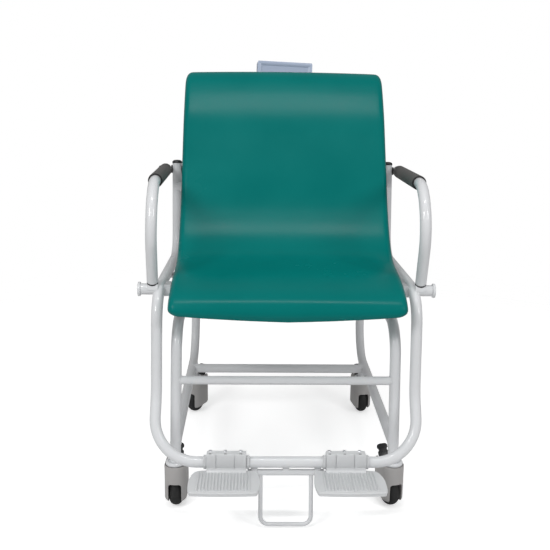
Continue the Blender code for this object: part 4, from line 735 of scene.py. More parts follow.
class SCALE_OT_finishes(bpy.types.Operator):
    """Make the shader groups and every finish of the scale"""
    bl_idname = "chair_scale.finishes"
    bl_label = "Finishes"

    def execute(self, context):
        tones = context.scene.scale_finishes
        relief_group()
        tone_group()
        wear_group()
        make_material("white_powder_coat", tones.powder, 0.30, 520, 0.10, shift=0.012, pebble=0.1,
                      wear=0.3, spread=0.03, specular=0.3, coat_weight=0.5, coat_roughness=0.07)
        make_material("teal_skin", tones.seat, 0.25, 850, 0.34, shift=0.05, pebble=0.45,
                      spread=0.03, specular=0.09)
        make_material("black_rubber", tones.rubber, 0.62, 700, 0.35, shift=0.10)
        make_material("grey_foam", tones.foam, 0.72, 1100, 0.55, shift=0.10, pebble=0.7)
        make_material("castor_plastic", tones.castor, 0.42, 900, 0.16, shift=0.02, wear=0.3)
        make_material("dark_plastic", tones.dark, 0.38, 900, 0.20, shift=0.08, wear=0.4)
        make_material("footplate_plastic", tones.footplate, 0.36, 800, 0.14, shift=0.015, wear=0.2)
        make_material("display_plastic", tones.display, 0.40, 1200, 0.20, shift=0.02, wear=0.3)
        make_material("display_window", tones.window, 0.12, 300, 0.02, shift=0.05, coat_weight=0.8,
                      coat_roughness=0.03)
        make_material("key_plastic", tones.keys, 0.45, 1200, 0.2, shift=0.03, wear=0.3)
        make_material("circuit_board", tones.board, 0.35, 300, 0.1, shift=0.2)
        make_material("aluminium", tones.metal, 0.32, 1500, 0.1, shift=0.03, metallic=1.0)
        make_material("shell_steel", tones.shell, 0.42, 500, 0.15, shift=0.10, wear=0.4)
        return {"FINISHED"}


def base_half(sizes, height):
    """Half width of the leaning side frames at a height."""
    return sizes.base_half + sizes.splay * (sizes.low_rail_z - height)


def leg_line(sizes, sign, height):
    """A point on a front leg's axis."""
    return Vector((sign * base_half(sizes, height), joint_point("swivel_front_left").y, height))


class SCALE_OT_side_frames(bpy.types.Operator):
    """Bend the base's legs and rails, with the castor sockets below them"""
    bl_idname = "chair_scale.side_frames"
    bl_label = "Side frames"

    def execute(self, context):
        sizes, castor = context.scene.scale_tubes, context.scene.scale_castors
        rear_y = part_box("rear_leg_left")[1].y - sizes.radius
        for side, sign in SIDES:
            foot = leg_line(sizes, sign, castor.top + castor.collar_rise)
            top = leg_line(sizes, sign, sizes.top_bar_z)
            front = bent_tube([foot, top, (top.x, rear_y - sizes.radius, top.z)],
                              [sizes.top_bend], sizes.radius)
            front = finish(front, f"base_front_leg_{side}", "white_powder_coat", "root",
                           f"front_leg_{side}")
            rear_top = Vector((top.x, rear_y, sizes.top_bar_z + sizes.leg_rise))
            low_corner = Vector((sign * sizes.base_half, rear_y, sizes.low_rail_z))
            rail_end = Vector((low_corner.x, foot.y + sizes.radius, sizes.low_rail_z))
            rear = bent_tube([rear_top, low_corner, rail_end], [sizes.rail_bend], sizes.radius)
            rear = finish(rear, f"base_rear_leg_{side}", "white_powder_coat", "root",
                          f"rear_leg_{side}")
            weld_bead(f"weld_rail_{side}", rail_end + Vector((0, sizes.radius, 0)), (0, 1, 0),
                      sizes.radius * BEAD_SHARE, front, sizes.weld)
            weld_bead(f"weld_top_bar_{side}", (top.x, rear_y - sizes.radius * 2, top.z), (0, -1, 0),
                      sizes.radius * BEAD_SHARE, rear, sizes.weld)
            full, rise = sizes.radius, sizes.plug_rise
            plug = turned([(full * 0.96, 0), (full * 0.9, rise * 0.5833), (full * 0.4, rise)],
                          rear_top)
            finish(plug, f"rear_leg_plug_{side}", "dark_plastic", "root")
        for corner in CORNERS:
            point = joint_point(f"swivel_{corner}")
            base, ring, edge = castor.top + FIT, castor.collar, sizes.ring_edge
            rim = base + castor.collar_rise
            floor = rim - sizes.ring_floor
            end = sizes.low_rail_z if corner.startswith("rear") else rim + OVERLAP
            socket = turned([
                (ring - edge / 3, base), (ring, base + edge / 3), (ring, rim - edge),
                (ring - edge * 0.29, rim - edge / 3), (ring - edge, rim),
                (ring - edge * 2.08, rim - edge / 6),
                (sizes.socket + edge * 1.25, floor + edge / 6), (sizes.socket, floor),
                (sizes.socket, end)], (point.x, point.y, 0), sides=48)
            finish(socket, f"castor_socket_{corner}", "white_powder_coat", "root", smooth=50)
        return {"FINISHED"}


class SCALE_OT_crossbars(bpy.types.Operator):
    """Lay the two tubes that tie the base's side frames together"""
    bl_idname = "chair_scale.crossbars"
    bl_label = "Crossbars"

    def execute(self, context):
        sizes = context.scene.scale_tubes
        ends = [leg_line(sizes, sign, sizes.crossbar_z) for _, sign in SIDES]
        bar = rod(*ends, sizes.crossbar)
        finish(bar, "base_front_crossbar", "white_powder_coat", "root", "front_crossbar")
        rear_y = ends[0].y + sizes.rear_crossbar_y
        rear_ends = [Vector((sign * sizes.base_half, rear_y, sizes.low_rail_z))
                     for _, sign in SIDES]
        rear = rod(*rear_ends, sizes.radius)
        finish(rear, "base_rear_crossbar", "white_powder_coat", "root", "rear_crossbar")
        for (side, sign), end, rear_end in zip(SIDES, ends, rear_ends):
            along = Vector((-sign, 0, 0))
            step = along * sizes.radius * 2
            weld_bead(f"weld_front_crossbar_{side}", end + step, along, sizes.crossbar,
                      bpy.data.objects[f"base_front_leg_{side}"], sizes.weld)
            weld_bead(f"weld_rear_crossbar_{side}", rear_end + step, along,
                      sizes.radius * BEAD_SHARE, bpy.data.objects[f"base_rear_leg_{side}"],
                      sizes.weld)
        return {"FINISHED"}


def upright_point(sizes, sign, height):
    """A point on an upright's leaning axis."""
    y = ARM_PIVOT.y - (ARM_PIVOT.z - height) * math.tan(sizes.lean)
    return Vector((sign * sizes.upright_half, y, height))


class SCALE_OT_side_tubes(bpy.types.Operator):
    """Bend the uprights with their seat rails and plug their tops"""
    bl_idname = "chair_scale.side_tubes"
    bl_label = "Uprights and side rails"

    def execute(self, context):
        sizes = context.scene.scale_tubes
        split_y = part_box("side_tube_left")[0].y
        lean = Vector((0, math.sin(sizes.lean), math.cos(sizes.lean)))
        for side, sign in SIDES:
            top = upright_point(sizes, sign, sizes.upright_top)
            side_tube = bent_tube([top, upright_point(sizes, sign, RAIL_Z),
                                   (sign * sizes.split_half, split_y, RAIL_Z)],
                                  [sizes.upright_bend], sizes.radius)
            finish(side_tube, f"seat_rail_{side}", "white_powder_coat", "root",
                   f"side_tube_{side}")
            cap_low, cap_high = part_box(f"upright_cap_{side}")
            full, rise, edge = (cap_high.x - cap_low.x) / 2, sizes.cap_rise, sizes.cap_edge
            cap = turned([(full - edge / 2, 0), (full, edge), (full, rise * 0.28),
                          (full * 0.965, rise * 0.50), (full * 0.86, rise * 0.72),
                          (full * 0.64, rise * 0.90), (full * 0.34, rise * 0.985),
                          (full * 0.08, rise)], top + lean * FIT, lean, sides=48)
            finish(cap, f"upright_plug_{side}", "dark_plastic", "root", f"upright_cap_{side}",
                   smooth=50)
        return {"FINISHED"}


def hoop_corners(sizes):
    """Corners and bends of the front hoop's axis, from rail to rail."""
    split_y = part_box("side_tube_left")[0].y - FIT
    hoop_y = FOOT_BAR.y + sizes.hoop_ahead
    right = [(sizes.split_half, split_y, RAIL_Z), (sizes.hoop_top_half, hoop_y, RAIL_Z),
             (sizes.knee_half, hoop_y, sizes.knee_z), (sizes.foot_half, FOOT_BAR.y, FOOT_BAR.z)]
    bends = [sizes.hoop_top_bend, sizes.knee_bend, sizes.low_bend]
    return right + [(-x, y, z) for x, y, z in reversed(right)], bends + bends[::-1]


class SCALE_OT_front_hoop(bpy.types.Operator):
    """Bend the front hoop and set the flanged stubs on it"""
    bl_idname = "chair_scale.front_hoop"
    bl_label = "Front hoop and stubs"

    def execute(self, context):
        sizes = context.scene.scale_tubes
        hoop = finish(bent_tube(*hoop_corners(sizes), sizes.radius, sides=32, steps=18),
                      "bent_front_hoop", "white_powder_coat", "root", "front_hoop")
        stub_y = (STUB_LOW.y + STUB_HIGH.y) / 2
        full = (STUB_HIGH.y - STUB_LOW.y) / 2
        for side, sign in SIDES:
            start = sign * (sizes.hoop_top_half + OVERLAP)
            reach = STUB_HIGH.x - abs(start)
            back, floor = reach - sizes.flange, reach - sizes.dish
            stub = turned([
                (sizes.radius, 0), (sizes.radius, back),
                *rounded(full, back, reach, sizes.flange_edge), (full * 0.82, reach),
                (full * 0.80, floor), (full * 0.76, floor), (full * 0.73, reach),
                (full * 0.3, reach)], (start, stub_y, RAIL_Z), (sign, 0, 0), sides=48)
            finish(stub, f"flanged_stub_{side}", "white_powder_coat", "root", f"arm_stub_{side}")
            clear = sign * (sizes.hoop_top_half + sizes.radius * 2)
            weld_bead(f"weld_stub_{side}", (clear, stub_y, RAIL_Z), (sign, 0, 0),
                      sizes.radius * BEAD_SHARE, hoop, sizes.weld)
        return {"FINISHED"}


class SCALE_OT_weighing_unit(bpy.types.Operator):
    """Finish the seat bars, the load beam, the load cell and its plate"""
    bl_idname = "chair_scale.weighing_unit"
    bl_label = "Weighing unit"

    def execute(self, context):
        sizes = context.scene.scale_back
        for node, material in (("front_seat_bar", "white_powder_coat"),
                               ("rear_seat_bar", "white_powder_coat"),
                               ("load_plate", "white_powder_coat"),
                               ("load_beam", "white_powder_coat"), ("load_cell", "aluminium")):
            finish(refined(node, sizes.plate_edge), f"rounded_{node}", material, "root", node)
        low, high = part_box("load_plate")
        bars = [self.middle("front_seat_bar").y, self.middle("rear_seat_bar").y]
        places = [(x, y, low.z) for x in (low.x + sizes.bolt_inset, high.x - sizes.bolt_inset)
                  for y in bars]
        beam = self.middle("load_beam").y
        places += [(0, beam + offset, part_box("load_beam")[0].z)
                   for offset in (-sizes.bolt_offset, sizes.bolt_offset)]
        heads = [dome_screw(place, (0, 0, -1), sizes.bolt) for place in places]
        finish(join(heads), "weighing_unit_bolts", "aluminium", "root")
        return {"FINISHED"}

    @staticmethod
    def middle(node):
        """Middle of a node's box."""
        low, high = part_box(node)
        return (low + high) / 2


# Side line of the seat's upper face, as shares of its run and its rise
SEAT_LINE_SHARES = [
    (0.000, 0.000), (0.0020, 0.022), (0.0120, 0.0490), (0.0320, 0.0730), (0.0620, 0.0930),
    (0.1110, 0.1130), (0.200, 0.1380), (0.300, 0.1520), (0.370, 0.1655), (0.425, 0.1890),
    (0.4705, 0.2270), (0.5105, 0.2740), (0.5500, 0.3330), (0.5880, 0.4000), (0.6360, 0.5050),
    (0.7220, 0.6850), (0.7640, 0.7760), (0.8000, 0.8400), (0.8450, 0.9100), (0.8890, 0.9640),
    (0.9430, 0.9915), (1.000, 0.9860)]
# From the border's inner line round the side: shares of the border and of the thickness
SIDE_SHARES = [(0.74, 0.022), (0.50, 0.075), (0.30, 0.16), (0.14, 0.29), (0.035, 0.46),
               (0.0, 0.64), (0.05, 0.82), (0.20, 0.95), (0.48, 1.0)]
# The last rings at each end: shares of the thickness and of the corner
END_SHARES = [(0.42, 1.0), (0.62, 0.62), (0.78, 0.36), (0.89, 0.18), (0.96, 0.07), (0.99, 0.02)]
BOW_SHARES = (0.78, 0.84)      # along the line, where the top bow starts and is full
LINE_STEPS = 3                 # stations between two points of the line
LIP_STATIONS = 7.5             # over which the front bow fades out
CROWN_STEPS = 9                # points across half of the crown


def smooth_line(points, each):
    """Points of a smooth curve through the given ones."""
    padded = [points[0] * 2 - points[1], *points, points[-1] * 2 - points[-2]]
    line = []
    for before, start, end, after in zip(padded, padded[1:], padded[2:], padded[3:]):
        for index in range(each):
            t = index / each
            line.append(0.5 * (2 * start + (end - before) * t
                               + (2 * before - 5 * start + 4 * end - after) * t ** 2
                               + (3 * start - before - 3 * end + after) * t ** 3))
    return [*line, points[-1]]


def seat_line(sizes):
    """Upper face of the seat in the YZ plane, from the lip to the top roll."""
    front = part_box("seat_cushion")[0].y + sizes.lip
    points = [Vector((front + sizes.run * run, sizes.rise * rise))
              for run, rise in SEAT_LINE_SHARES]
    line = smooth_line(points, LINE_STEPS)
    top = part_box("seat_cushion")[1].z - sizes.top_bow - sizes.top_roll
    lift = Vector((0, top - max(point.y for point in line)))
    return [point + lift for point in line]


def inward(line):
    """Unit normals that point into the moulding."""
    found = []
    for index in range(len(line)):
        run = (line[min(index + 1, len(line) - 1)] - line[max(index - 1, 0)]).normalized()
        found.append(Vector((run.y, -run.x)))
    return found


class SCALE_OT_seat(bpy.types.Operator):
    """Mould the one-piece seat: crowned, drawn in at its sides and rolled at its top"""
    bl_idname = "chair_scale.seat"
    bl_label = "Moulded seat"

    def execute(self, context):
        sizes = context.scene.scale_seat
        line = seat_line(sizes)
        last = len(line) - 1
        shape = bmesh.new()
        rings = []
        for index, (point, normal) in enumerate(zip(line, inward(line))):
            share = index / last
            half = sizes.front_half + (sizes.top_half - sizes.front_half) * share
            end = min(index, last - index)
            slim, pull = END_SHARES[end] if end < len(END_SHARES) else (1, 0)
            half -= sizes.corner * pull
            inset = sizes.thick * (1 - slim) / 2
            start, full = BOW_SHARES
            bow = (sizes.top_bow * min(1, max(0, (share - start) / (full - start)))
                   - sizes.front_bow * max(0, 1 - index / LIP_STATIONS))
            ring = []
            for x, deep in self.section(sizes, half, sizes.thick * slim):
                place = point + normal * (deep + inset)
                ring.append(shape.verts.new((x, place.x, place.y + bow * (1 - (x / half) ** 2))))
            rings.append(ring)
        size = len(rings[0])
        for first, second in zip(rings, rings[1:]):
            for index in range(size):
                after = (index + 1) % size
                shape.faces.new((first[index], first[after], second[after], second[index]))
        for ring in (rings[0], list(reversed(rings[-1]))):
            self.close(shape, ring, size)
        bmesh.ops.recalc_face_normals(shape, faces=shape.faces)
        seat = built(shape, "moulded_seat")
        apply_step(seat, "SUBSURF", levels=2, render_levels=2)
        finish(seat, "moulded_seat", "teal_skin", "root", "seat_cushion", smooth=80)
        return {"FINISHED"}

    @staticmethod
    def section(sizes, half, thick):
        """One section of the moulding as (x, depth), clockwise from its middle."""
        flat = half - sizes.edge
        right = [(flat * step / CROWN_STEPS,
                  -sizes.crown * (1 - (flat * step / CROWN_STEPS / half) ** 2))
                 for step in range(CROWN_STEPS + 1)]
        right += [(half - sizes.edge * draw, thick * deep) for draw, deep in SIDE_SHARES]
        right += [(flat * step / 4, thick) for step in (3, 2, 1, 0)]
        return right + [(-x, deep) for x, deep in reversed(right[1:-1])]

    @staticmethod
    def close(shape, ring, size):
        """Close an end with a strip of quads between its upper and lower lines."""
        half = size // 2
        for index in range(half):
            corners = [ring[index], ring[index + 1], ring[(size - index - 1) % size],
                       ring[(size - index) % size]]
            unique = list(dict.fromkeys(corners))
            if len(unique) > 2:
                shape.faces.new(unique)


class SCALE_OT_shell(bpy.types.Operator):
    """Press the shell that backs the seat"""
    bl_idname = "chair_scale.shell"
    bl_label = "Pressed shell"

    def execute(self, context):
        sizes = context.scene.scale_seat
        line = seat_line(sizes)
        normals = inward(line)
        low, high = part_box("seat_shell")
        depth = sizes.thick + FIT
        rows = [point + normal * depth for point, normal in zip(line, normals)]
        kept = [(row, normal) for row, normal in zip(rows, normals)
                if row.x > low.y + sizes.shell and row.y < high.z - sizes.shell][2:]
        shape = bmesh.new()
        columns = 24
        grid = []
        for place, (row, normal) in enumerate(kept):
            end = min(place, len(kept) - 1 - place)
            half = sizes.shell_half - sizes.corner * max(0, 1 - end / 3) ** 2
            grid.append([shape.verts.new((half * (2 * column / columns - 1), row.x, row.y))
                         for column in range(columns + 1)])
        for first, second in zip(grid, grid[1:]):
            for column in range(columns):
                shape.faces.new((first[column], first[column + 1], second[column + 1],
                                 second[column]))
        shell = built(shape, "pressed_shell")
        faces_up = shell.data.polygons[0].normal.z > 0
        apply_step(shell, "SOLIDIFY", thickness=sizes.shell - FIT, offset=-1 if faces_up else 1)
        round_edges(shell, sizes.shell_edge, sharper_than=60)
        finish(shell, "pressed_shell", "shell_steel", "root", "seat_shell", smooth=50)
        return {"FINISHED"}


class SCALE_OT_back_support(bpy.types.Operator):
    """Bend the bow behind the back and stand the display's pole on it"""
    bl_idname = "chair_scale.back_support"
    bl_label = "Back support"

    def execute(self, context):
        tubes, sizes = context.scene.scale_tubes, context.scene.scale_back
        axis = joint_point("display_tilt")
        bow_y = axis.y - sizes.bow_ahead
        ends = [upright_point(tubes, sign, sizes.bow_z) for _, sign in SIDES]
        corners = [ends[1], (sizes.bow_half, bow_y, sizes.bow_z),
                   (-sizes.bow_half, bow_y, sizes.bow_z), ends[0]]
        bow = finish(bent_tube(corners, [sizes.bow_bend] * 2, tubes.radius), "bent_back_bow",
                     "white_powder_coat", "root", "back_bow")
        self.plate(tubes, sizes, bow_y)
        foot = Vector((0, bow_y, sizes.bow_z))
        knee = Vector((0, axis.y, sizes.pole_knee))
        pole = bent_tube([foot, knee, (0, axis.y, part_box("display_head")[0].z)],
                         [sizes.pole_bend], sizes.pole)
        finish(pole, "bent_display_pole", "white_powder_coat", "root", "display_pole")
        rise = (knee - foot).normalized()
        weld_bead("weld_pole", foot + rise * tubes.radius * 2, rise, sizes.pole, bow, tubes.weld)
        finish(refined("display_head", sizes.head_edge), "rounded_display_head", "dark_plastic",
               "root", "display_head")
        return {"FINISHED"}

    @staticmethod
    def plate(tubes, sizes, bow_y):
        """Bolting plate between the bow and the shell, with its four bolts."""
        line = seat_line(bpy.context.scene.scale_seat)
        slope = min(zip(line, line[1:]), key=lambda pair: abs(pair[0].y - sizes.bow_z))
        run = (slope[1] - slope[0]).normalized()
        normal = Vector((0, run.y, -run.x))
        along = Vector((0, run.x, run.y))
        turn = Matrix((Vector((1, 0, 0)), along, normal)).transposed().to_4x4()
        middle = Vector((0, bow_y, sizes.bow_z)) - normal * (tubes.radius + sizes.plate_gap)
        plate = block((-sizes.plate_half, -sizes.plate_rise, 0),
                      (sizes.plate_half, sizes.plate_rise, sizes.plate), sizes.plate_edge)
        placed(plate, Matrix.Translation(middle) @ turn)
        finish(plate, "back_bow_bolting_plate", "white_powder_coat", "root")
        bolts = [dome_screw(middle + turn.to_3x3() @ Vector((x, y, sizes.plate)), normal,
                            sizes.bolt)
                 for x in (-sizes.plate_bolt_x, sizes.plate_bolt_x)
                 for y in (-sizes.plate_bolt_z, sizes.plate_bolt_z)]
        finish(join(bolts), "back_bow_bolts", "aluminium", "root")


class SCALE_OT_arms(bpy.types.Operator):
    """Bend the lifting arms, with their grips, saddles and pivot bolts"""
    bl_idname = "chair_scale.arms"
    bl_label = "Arms"

    def execute(self, context):
        tubes, sizes = context.scene.scale_tubes, context.scene.scale_arms
        radius = tubes.radius
        stub_y = (STUB_LOW.y + STUB_HIGH.y) / 2
        for side, sign in SIDES:
            body = f"armrest_{side}"
            pivot = joint_point(f"arm_lift_{side}")
            corner = Vector((sign * sizes.corner_half, FOOT_BAR.y - sizes.corner_ahead,
                             sizes.corner_z))
            foot = Vector((sign * sizes.foot_half, stub_y, RAIL_Z + sizes.foot_rise))
            run = (corner - pivot).normalized()
            arm = bent_tube([pivot - run * sizes.tail, corner, foot], [sizes.bend], radius,
                            steps=20)
            across = Vector((radius * 2, 0, 0))
            cut(arm, rod(pivot - across, pivot + across, sizes.hole))
            finish(arm, f"arm_tube_{side}", "white_powder_coat", body, f"arm_{side}")
            self.grip(sizes, radius, side, body, pivot, run)
            self.pivot(tubes, sizes, side, sign, pivot)
            finish(refined(f"arm_saddle_{side}", sizes.pad_edge), f"arm_rest_pad_{side}",
                   "black_rubber", body, f"arm_saddle_{side}")
        return {"FINISHED"}

    @staticmethod
    def grip(sizes, radius, side, body, pivot, run):
        """Foam sleeve with a darker rim at each end."""
        full, rim, soft, bore = sizes.grip, sizes.rim, sizes.soft, radius + FIT
        far = sizes.grip_length - rim
        sleeve = turned([
            (bore, rim), (full - soft * 0.88, rim), (full - soft * 0.2, rim + soft * 0.24),
            (full, rim + soft), (full, sizes.grip_length / 2), (full, far - soft),
            (full - soft * 0.2, far - soft * 0.24), (full - soft * 0.88, far), (bore, far)],
            pivot + run * sizes.grip_start, run, sides=48, bore=True)
        finish(sleeve, f"foam_grip_{side}", "grey_foam", body, f"arm_grip_{side}")
        for name, offset, step in (("rear", 0, 1), ("front", sizes.grip_length, -1)):
            ring = turned([(bore, 0), (full - soft * 0.72, 0), (full - soft * 0.16, soft * 0.4),
                           (full - soft * 0.08, soft * 0.88), (full - soft * 0.32, rim),
                           (bore, rim)],
                          pivot + run * (sizes.grip_start + offset), run * step, sides=48,
                          bore=True)
            finish(ring, f"grip_rim_{name}_{side}", "black_rubber", body)

    @staticmethod
    def pivot(tubes, sizes, side, sign, pivot):
        """Shouldered bolt with a domed head at each end and a bush between the tubes."""
        low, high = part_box(f"arm_pivot_{side}")
        inner, out = sorted((abs(low.x), abs(high.x)))
        upright = tubes.upright_half
        inner_face, outer_face = upright - tubes.radius - FIT, upright + tubes.radius + FIT
        arm_face = abs(pivot.x) - tubes.radius - sizes.bush_gap
        head, shank, dome, bush = sizes.bolt_head, sizes.shank, sizes.bolt_dome, sizes.bush
        outer_start, shoulder, edge = out - sizes.bolt_rise, dome * 0.267, dome / 5
        bolt = turned([
            (head * 0.45, inner), (head * 0.80, inner + shoulder), (head, inner + dome),
            (head, inner_face), (shank, inner_face), (shank, outer_face),
            (bush - edge, outer_face), (bush, outer_face + edge), (bush, arm_face),
            (shank, arm_face), (shank, outer_start), (head, outer_start), (head, out - dome),
            (head * 0.80, out - shoulder), (head * 0.45, out)],
            (0, pivot.y, pivot.z), (sign, 0, 0))
        cut(bolt, turned([(sizes.key, out - sizes.key_depth), (sizes.key, out + OVERRUN)],
                         (0, pivot.y, pivot.z), (sign, 0, 0), sides=6))
        finish(bolt, f"pivot_bolt_{side}", "dark_plastic", "root", f"arm_pivot_{side}")


def castor_place(corner):
    """Matrix from a castor's own frame to its place under a leg."""
    point = joint_point(f"swivel_{corner}")
    axle = Vector(JOINTS[f"roll_{corner}"]["axis"])
    return (Matrix.Translation((point.x, point.y, 0))
            @ Matrix.Rotation(math.atan2(axle.y, axle.x), 4, "Z"))


def hood_shape(sizes):
    """Moulded hood in the castor's own frame: nose towards -Y, round tail behind."""
    sides = 48
    piece = begin(bpy.ops.mesh.primitive_circle_add, vertices=sides,
                  radius=sizes.hood - sizes.ledge, fill_type="NGON",
                  location=(0, 0, sizes.bottom), rotation=(0, 0, math.pi / sides))
    pick(piece, "VERT", lambda corner: corner.co.y > 0)
    bpy.ops.transform.translate(value=(0, sizes.reach, 0))
    bpy.ops.mesh.select_all(action="SELECT")
    extrude((0, 0, sizes.arch_z - sizes.bottom))
    bpy.ops.mesh.inset(thickness=sizes.ledge, use_outset=True)
    extrude((0, 0, sizes.top - sizes.arch_z))
    for height, width, segments in ((sizes.bottom, sizes.skirt, 8), (sizes.top, sizes.shoulder, 3)):
        pick(piece, "EDGE", lambda edge, level=height: all(
            abs(corner.co.z - level) < MERGE for corner in edge.verts))
        bpy.ops.mesh.bevel(offset=width, segments=segments, affect="EDGES")
    leave(piece)
    half, clear = sizes.well_half, sizes.well
    well = rod((-half, sizes.trail, sizes.wheel), (half, sizes.trail, sizes.wheel), clear, sides=64)
    mouth = block((-half, sizes.trail - clear, 0), (half, sizes.trail + clear, sizes.wheel))
    arch = block((-half, -sizes.hood * 2, 0), (half, sizes.trail, sizes.arch_z),
                 sizes.arch_bend, 6)
    inner, outer = sizes.collar - sizes.groove * 0.48, sizes.collar + sizes.groove * 0.52
    floor, above = sizes.top - sizes.groove_depth, sizes.top + OVERRUN
    groove = turned([(inner, floor), (outer, floor), (outer, above), (inner, above)],
                    bore=True, sides=64)
    stem = rod((0, 0, sizes.top - sizes.stem_depth), (0, 0, above), sizes.stem)
    notch = block((-sizes.notch_half, sizes.pedal_y - sizes.barrel_seat,
                   sizes.pedal_z - sizes.barrel_seat),
                  (sizes.notch_half, sizes.reach + sizes.hood + OVERRUN, above))
    seam = block((-sizes.seam_half, -sizes.hood - OVERRUN, sizes.arch_z - sizes.arch_bend),
                 (sizes.seam_half, sizes.seam_depth - sizes.hood, sizes.top - sizes.shoulder * 2))
    pins = [rod((sign * (sizes.hood - sizes.pin_depth), sizes.pedal_y, sizes.pedal_z),
                (sign * (sizes.hood + OVERRUN), sizes.pedal_y, sizes.pedal_z), sizes.pin, sides=24)
            for sign in (-1, 1)]
    cut(piece, well, mouth, arch, groove, stem, notch, seam, *pins)
    reopen(piece)
    bpy.ops.mesh.quads_convert_to_tris(quad_method="BEAUTY", ngon_method="BEAUTY")
    return leave(piece)


RIM_SHARE = 0.62               # of a wheel's radius, where hub and tyre meet
# The tyre's flank: drop as a share of the wheel's radius, reach as a share of its half width
FLANK_SHARES = [(0.0, 0.10), (0.014, 0.34), (0.052, 0.58), (0.112, 0.78), (0.19, 0.92),
                (0.29, 1.0)]


def wheel_shapes(sizes):
    """Tyre and hub in the castor's own frame."""
    full, half = sizes.wheel, sizes.wheel_half
    place, axis = (0, sizes.trail, full), (1, 0, 0)
    rim = full * RIM_SHARE
    side = [(full * (1 - drop), half * out) for drop, out in FLANK_SHARES]
    tyre = turned([(rim, -half), *((radius, -out) for radius, out in reversed(side)), *side,
                   (rim, half)], place, axis, sides=72, bore=True)
    axle, middle, web = sizes.axle, sizes.hub, sizes.web
    face = [(axle, sizes.axle_half), (axle, half), (middle, half), (middle + web / 2, half * 0.7),
            (rim - web, half * 0.6), (rim, half * 0.9)]
    hub = turned([*((radius, -out) for radius, out in face), *reversed(face)], place, axis,
                 sides=48)
    return tyre, hub


BAR_SHARES = (0.50, 0.64, 0.78)    # of a pedal's length, where its grip bars lie


def pedal_shape(sizes):
    """Steep brake pedal in the castor's own frame, with a bite in each side and grip bars."""
    half, thick, bar = sizes.pedal_half, sizes.pedal_thick, sizes.pedal_bar
    run = sizes.pedal_reach - sizes.pedal_y
    reach = math.hypot(run, sizes.pedal_rise)
    points = [(-half, 0, -thick / 2), (half, 0, -thick / 2), (half, reach, -thick / 2),
              (-half, reach, -thick / 2)]
    piece = polygon(points)
    for point in points[2:]:
        round_corner(piece, point, sizes.pedal_corner)
    thicken((0, 0, thick))
    leave(piece)
    bars = [block((-half * 0.6, reach * share - bar, thick / 2 - bar / 2),
                  (half * 0.6, reach * share + bar, thick / 2 + bar * 0.8), bar * 0.4, 2)
            for share in BAR_SHARES]
    for sign in (-1, 1):
        middle = (sign * (half + bar), reach * BAR_SHARES[1])
        cut(piece, rod((*middle, -thick), (*middle, thick), sizes.pedal_bite, sides=24))
    round_edges(piece, bar)
    barrel = rod((-half, 0, 0), (half, 0, 0), sizes.barrel, sides=24, edge=bar * 0.6)
    join([piece, barrel, *bars])
    slope = Matrix.Rotation(math.atan2(sizes.pedal_rise, run), 4, "X")
    return placed(piece, Matrix.Translation((0, sizes.pedal_y, sizes.pedal_z)) @ slope)


class SCALE_OT_castors(bpy.types.Operator):
    """Model one castor and copy it to the four corners"""
    bl_idname = "chair_scale.castors"
    bl_label = "Castors"

    def execute(self, context):
        sizes = context.scene.scale_castors
        tyre, hub = wheel_shapes(sizes)
        patterns = [(hood_shape(sizes), "moulding", "castor_plastic", "castor", "castor_hood"),
                    (tyre, "tyre", "black_rubber", "castor_wheel", "wheel"),
                    (hub, "hub", "dark_plastic", "castor_wheel", None),
                    (pedal_shape(sizes), "pedal", "dark_plastic", "castor_brake", "brake_pedal")]
        for corner in CORNERS:
            matrix = castor_place(corner)
            for pattern, name, material, body, node in patterns:
                piece = placed(linked("copy", pattern.data.copy()), matrix)
                nodes = [f"{node}_{corner}"] if node else []
                finish(piece, f"castor_{name}_{corner}", material, f"{body}_{corner}", *nodes)
        for pattern, *_ in patterns:
            bpy.data.objects.remove(pattern, do_unlink=True)
        return {"FINISHED"}


# Half outlines of a footplate from its rear edge to its front, in metres: (depth, half width)
OUTER_SIDE = [(0.0, 0.0560), (0.0045, 0.0668), (0.0150, 0.0732), (0.0300, 0.0770),
              (0.0540, 0.0800), (0.0850, 0.0797), (0.1010, 0.0786), (0.1095, 0.0768),
              (0.1130, 0.0735)]
INNER_SIDE = [(0.0, 0.0600), (0.0030, 0.0655), (0.0130, 0.0692), (0.0330, 0.0722),
              (0.0600, 0.0742), (0.0880, 0.0728), (0.1040, 0.0704), (0.1110, 0.0680),
              (0.1132, 0.0640)]
# Its bulging front from the outer side to the inner one: (x, how far behind the middle)
FRONT_SIDE = [(0.035, 0.0008), (0, 0), (-0.030, 0.0008)]
SCREW_SHARES = (-0.41, -0.03, 0.36)     # of the leaf's width, where the screws and nuts lie
LINE_SHARES = (-0.257, 0.205)           # the same for the leaf's upright lines


